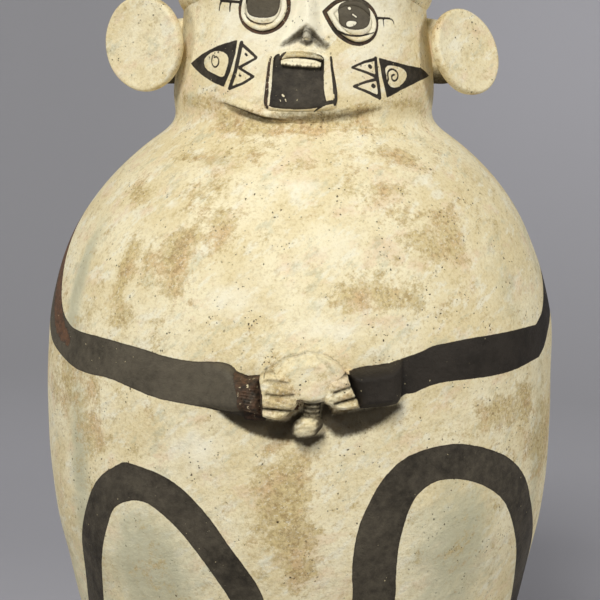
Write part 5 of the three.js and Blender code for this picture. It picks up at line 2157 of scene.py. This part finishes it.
    def clasp(self) -> None:
        """Makes the rounded top, the ridged stem and the bulb of what the hands hold."""
        ring = rounded(
            self.route(
                (270.5, 373), (275, 364.6), (288.6, 355.4), (305.7, 351), (322.9, 352.6), (337, 361),
                (346, 371.6), (346, 386, 10), (338, 399, 10), (324, 405, 10), (312, 406, 10), (300, 405, 10),
                (288, 406, 10), (274, 402, 9), (268, 388, 6)),
            True, 2)
        low, high = ring[:, 1].min(), ring[:, 1].max()
        spine = self.work.tracer.touch((311, 386), 10)[0]
        stem_line = self.route((313.4, 401), (313, 410), (312, 421), lift=8)
        bulb = self.route((307, 428.4), lift=9)[0]

        def boss(places: Places) -> Array:
            """The boss, flattened in front, with a low roll along its top and cut under below.

            Args:
                places: where to measure.

            Returns:
                Heights above the skin.
            """
            depth = -from_ring(places, ring)
            shoulder = np.interp(places.height, (low, low + 6, high), (2.6, 6.0, 6.5))
            rounding = 0.35 * np.sin(places.angle * self.arc / 2.7) * np.sin(places.height / 3.1)
            upper = ease(low + 8, high - 4, places.height)
            roll = 0.35 * np.exp(-(((depth - 4.2) / 3.0) ** 2)) * upper
            ridge = 0.6 * np.exp(-(((places.angle - spine) * self.arc / 2.2) ** 2)) * (1 - upper)
            return dome(depth, shoulder, 10.6) + rounding + roll + ridge

        def stem(places: Places) -> Array:
            """The stem with the ridges of its coil.

            Args:
                places: where to measure.

            Returns:
                Heights above the skin.
            """
            ridges = 0.3 * np.sin(2 * math.pi * places.height / 2.3)
            out = bar(places, stem_line, (4.3, 4.2, 4.3), (8.2, 8.0, 8.0), 1.0)
            return np.where(out > 1, out + ridges, out)

        def stem_soil_and_shade(places: Places) -> Array:
            """Painted shade and soiling all over the stem under the boss, most of it between the ridges."""
            return 0.8 - 0.12 * np.sin(2 * math.pi * places.height / 2.3)

        self.lute("clasped_boss", Slot.CREAM, ring, self.grid, boss)
        self.lute("boss_stem", Slot.CREAM, stem_line, self.stem_grid, stem, stem_soil_and_shade, margin=4.5)
        piece = self.bench.begin(
            "boss_bulb_clay", bpy.ops.mesh.primitive_uv_sphere_add, segments=96, ring_count=64, radius=1)
        points = self.bench.points(piece) * MM
        x, z = points[:, 0], points[:, 2]
        lump = 1 + 0.03 * np.sin(3 * x + 1) * np.sin(4 * z) + 0.02 * np.sin(9 * x)
        reach = np.hypot(x + 0.12, z - 0.1)
        streak = np.sin(9 * z + 2.5 * np.sin(3 * x)) * np.sin(5 * z + 1)
        # The bulb is darker at its edges, which is soiling, and on its left, which is painted shade.
        left = ease(0, 0.9, -x)
        soil_and_shade = 0.2 + 0.7 * ease(0.55, 1.05, reach) + 0.3 * left + 0.16 * streak
        points = points * np.array([8.2, 6.2, 5.6]) * lump[:, None]
        tilt = math.radians(24)
        turned = np.array(
            [[math.cos(tilt), 0, -math.sin(tilt)], [0, 1, 0], [math.sin(tilt), 0, math.cos(tilt)]])
        points = points @ turned.T
        middle = self.form.place(np.array([bulb[0]]), np.array([bulb[1]]), np.array([5.4]))[0]
        self.bench.put(piece, points + middle)
        self.bench.smooth(piece, 60)
        self.dress(piece, "boss_bulb", painted=Decoration(greys=self.painted.greys), painted_shade_and_soil=soil_and_shade)

    def build(self) -> None:
        """Makes both arms and the clasp."""
        self.forearms()
        self.clasp()
        self.hands()


@dataclass
class Feet(ClayWork):
    """The low feet under the painted legs."""

    offset: float = 33.0
    foot_height: float = 22.0
    half_width: float = 17.0
    rise: float = 47.0
    swell: float = 10.6

    def foot(self, side: str, sign: int) -> None:
        """Makes one foot with its toes.

        Args:
            side: the viewer's left or right.
            sign: -1 on the left and 1 on the right.
        """
        around = self.form.around(self.rise + self.foot_height / 2)
        middle = sign * self.offset / around

        def spot(across: float, up: float) -> tuple[float, float]:
            """A place on the foot: shares of its half width, and of its height from its toes."""
            return middle + across * self.half_width / around, self.rise + up * self.foot_height

        ring = rounded(
            np.array([spot(-0.62, 1), spot(0.62, 1), spot(0.86, 0.7), spot(1, 0.3), spot(0.94, 0.02),
                      spot(0.5, -0.02), spot(0, 0), spot(-0.5, -0.02), spot(-0.94, 0.02), spot(-1, 0.3),
                      spot(-0.86, 0.7)]),
            True, 2)
        lines = [np.array([spot(across, 0), spot(across * 0.9, 0.36)]) for across in (-0.6, -0.2, 0.2, 0.6)]

        def relief(places: Places) -> Array:
            """The instep slopes up from the leg to the toes.

            Args:
                places: where to measure.

            Returns:
                Heights above the skin.
            """
            share = np.clip((places.height - self.rise) / self.foot_height, 0, 1)
            out = dome(-from_ring(places, ring), 4.0, self.swell * (1 - 0.66 * share))
            for line in lines:
                out = out - groove(places, line, 0.6, 1.3) - groove(places, line, 2.0, 0.9)
            return out

        def soil_and_shade(places: Places) -> Array:
            """Darker in the grooves."""
            return np.clip(sum(groove(places, line, 0.7, 0.8) for line in lines), 0, 1)

        self.lute(f"{side}_foot", Slot.CREAM, ring, 0.5, relief, soil_and_shade)

    def build(self) -> None:
        """Makes both feet."""
        self.foot("left", -1)
        self.foot("right", 1)


@dataclass(frozen=True)
class LampPlace:
    """A soft light: where it hangs, its width, and how bright it makes a facing wall."""

    name: str
    azimuth: float
    elevation: float
    distance: float
    size: float
    level: float


@dataclass
class Studio:
    """The plain studio: a sweep of paper, a soft key light, a fill and an even surround."""

    paper: Color = srgb(168, 167, 170)
    # A lighter paper colour, laid on as painted light.
    paper_in_painted_light: Color = srgb(194, 193, 198)
    paper_half_width: float = 4.0
    paper_front: float = -3.0
    paper_back: float = 1.5
    paper_height: float = 3.0
    bend: float = 0.8
    lamps: tuple[LampPlace, ...] = (
        LampPlace("key_light", -14, 43, 2.2, 0.45, 0.67), LampPlace("left_light", -68, 18, 2.4, 0.6, 0.26),
        LampPlace("right_light", 60, 18, 2.4, 0.6, 0.36))
    surround: float = 0.08
    surround_color: Color = srgb(250, 250, 250)
    beyond: Color = srgb(140, 139, 143)
    aim: tuple[float, float, float] = (0, 0, 0.32)

    def sweep(self) -> None:
        """Makes the floor and backdrop in one curved sheet."""
        sheet = Workbench.begin(
            "paper_sweep", bpy.ops.mesh.primitive_grid_add, x_subdivisions=2, y_subdivisions=40, size=2)
        points = Workbench.points(sheet) * MM
        floor = self.paper_back - self.bend - self.paper_front
        arc = self.bend * math.pi / 2
        total = floor + arc + self.paper_height
        along = (points[:, 1] + 1) / 2 * total
        turn = np.clip((along - floor) / self.bend, 0, math.pi / 2)
        rise = np.maximum(along - floor - arc, 0)
        y = self.paper_front + np.minimum(along, floor) + self.bend * np.sin(turn)
        z = self.bend * (1 - np.cos(turn)) + rise
        Workbench.put(sheet, np.column_stack([points[:, 0] * self.paper_half_width, y, z]) / MM)
        bpy.ops.object.shade_smooth()
        paper = bpy.data.materials.new("studio_paper")
        nodes = Nodes.of_material(paper)
        apart = nodes.add("ShaderNodeSeparateXYZ")
        x, z = nodes.fed(apart, {0: nodes.place}, 0), Value(nodes, apart.outputs[2])
        # The paper is painted lighter towards the upper right and on the floor: painted light.
        painted_light_share = nodes.sum("MAXIMUM", x.step(-0.3, 0.45) * z.step(-0.15, 0.45), z.step(0.08, 0.0) * 0.55)
        nodes.finish(nodes.blend(painted_light_share, self.paper, self.paper_in_painted_light), 0.9, 0.1, ((nodes.noise(2, 2), 0.02),))
        self.clear_back(nodes)
        sheet.data.materials.append(paper)

    @staticmethod
    def clear_back(nodes: Nodes) -> None:
        """Makes the sheet clear from its back, so that it hides nothing from behind or below.

        Args:
            nodes: the sheet's nodes.
        """
        seen = Value(nodes, nodes.output.inputs["Surface"].links[0].from_socket)
        behind = nodes.fed(nodes.add("ShaderNodeNewGeometry"), {}, "Backfacing")
        clear = nodes.fed(nodes.add("ShaderNodeBsdfTransparent"), {})
        nodes.show(nodes.fed(nodes.add("ShaderNodeMixShader"), {0: behind, 1: seen, 2: clear}))

    def lamp(self, place: LampPlace) -> None:
        """Hangs one square soft light, aimed at the jar's middle.

        Args:
            place: its place and level.
        """
        data = bpy.data.lights.new(place.name, "AREA")
        data.energy = place.level * (math.pi * place.distance) ** 2
        data.size = place.size
        lamp = bpy.data.objects.new(place.name, data)
        turn, rise = math.radians(place.azimuth), math.radians(place.elevation)
        way = Vector((math.sin(turn) * math.cos(rise), -math.cos(turn) * math.cos(rise), math.sin(rise)))
        lamp.location = Vector(self.aim) + way * place.distance
        lamp.rotation_euler = way.to_track_quat("Z", "Y").to_euler()
        bpy.context.collection.objects.link(lamp)

    def build(self) -> None:
        """Sets up the paper, the lights and the surround."""
        self.sweep()
        for place in self.lamps:
            self.lamp(place)
        world = bpy.data.worlds.new("studio_surround")
        nodes = Nodes(world, "ShaderNodeOutputWorld")
        around = nodes.fed(
            nodes.add("ShaderNodeBackground"), {"Color": self.surround_color, "Strength": self.surround})
        seen = nodes.fed(nodes.add("ShaderNodeBackground"), {"Color": self.beyond})
        rays, direct = nodes.add("ShaderNodeLightPath"), 0.0
        for name in ("Is Camera Ray", "Is Glossy Ray", "Is Transmission Ray"):
            direct = nodes.sum("MAXIMUM", Value(nodes, rays.outputs[name]), direct)
        nodes.show(nodes.fed(nodes.add("ShaderNodeMixShader"), {0: direct, 1: around, 2: seen}))
        bpy.context.scene.world = world
        bpy.context.scene.view_settings.view_transform = "Standard"


def main() -> None:
    """Builds the camera, the studio and every piece of the jar."""
    logging.basicConfig(level=logging.INFO, format="%(relativeCreated)6d ms  %(message)s")
    camera = StudioCamera()
    camera.build()
    form = JarForm()
    tracer = Tracer(camera, form)
    form.jaw_line = tuple((*tracer.touch((x, y)), swell, drop) for x, y, swell, drop in Paintwork.JAW)
    bench = Workbench(form)
    work = Paintwork(tracer)
    finishes = {slot: ClayFinish(slot).build() for slot in Slot}
    body, face = work.body(), work.face()
    for assembly, painted in ((JarBody, body), (Ears, face), (Face, face), (Arms, body), (Feet, body)):
        assembly(bench, work, finishes, painted).build()
    Studio().build()


if __name__ == "__main__":
    main()
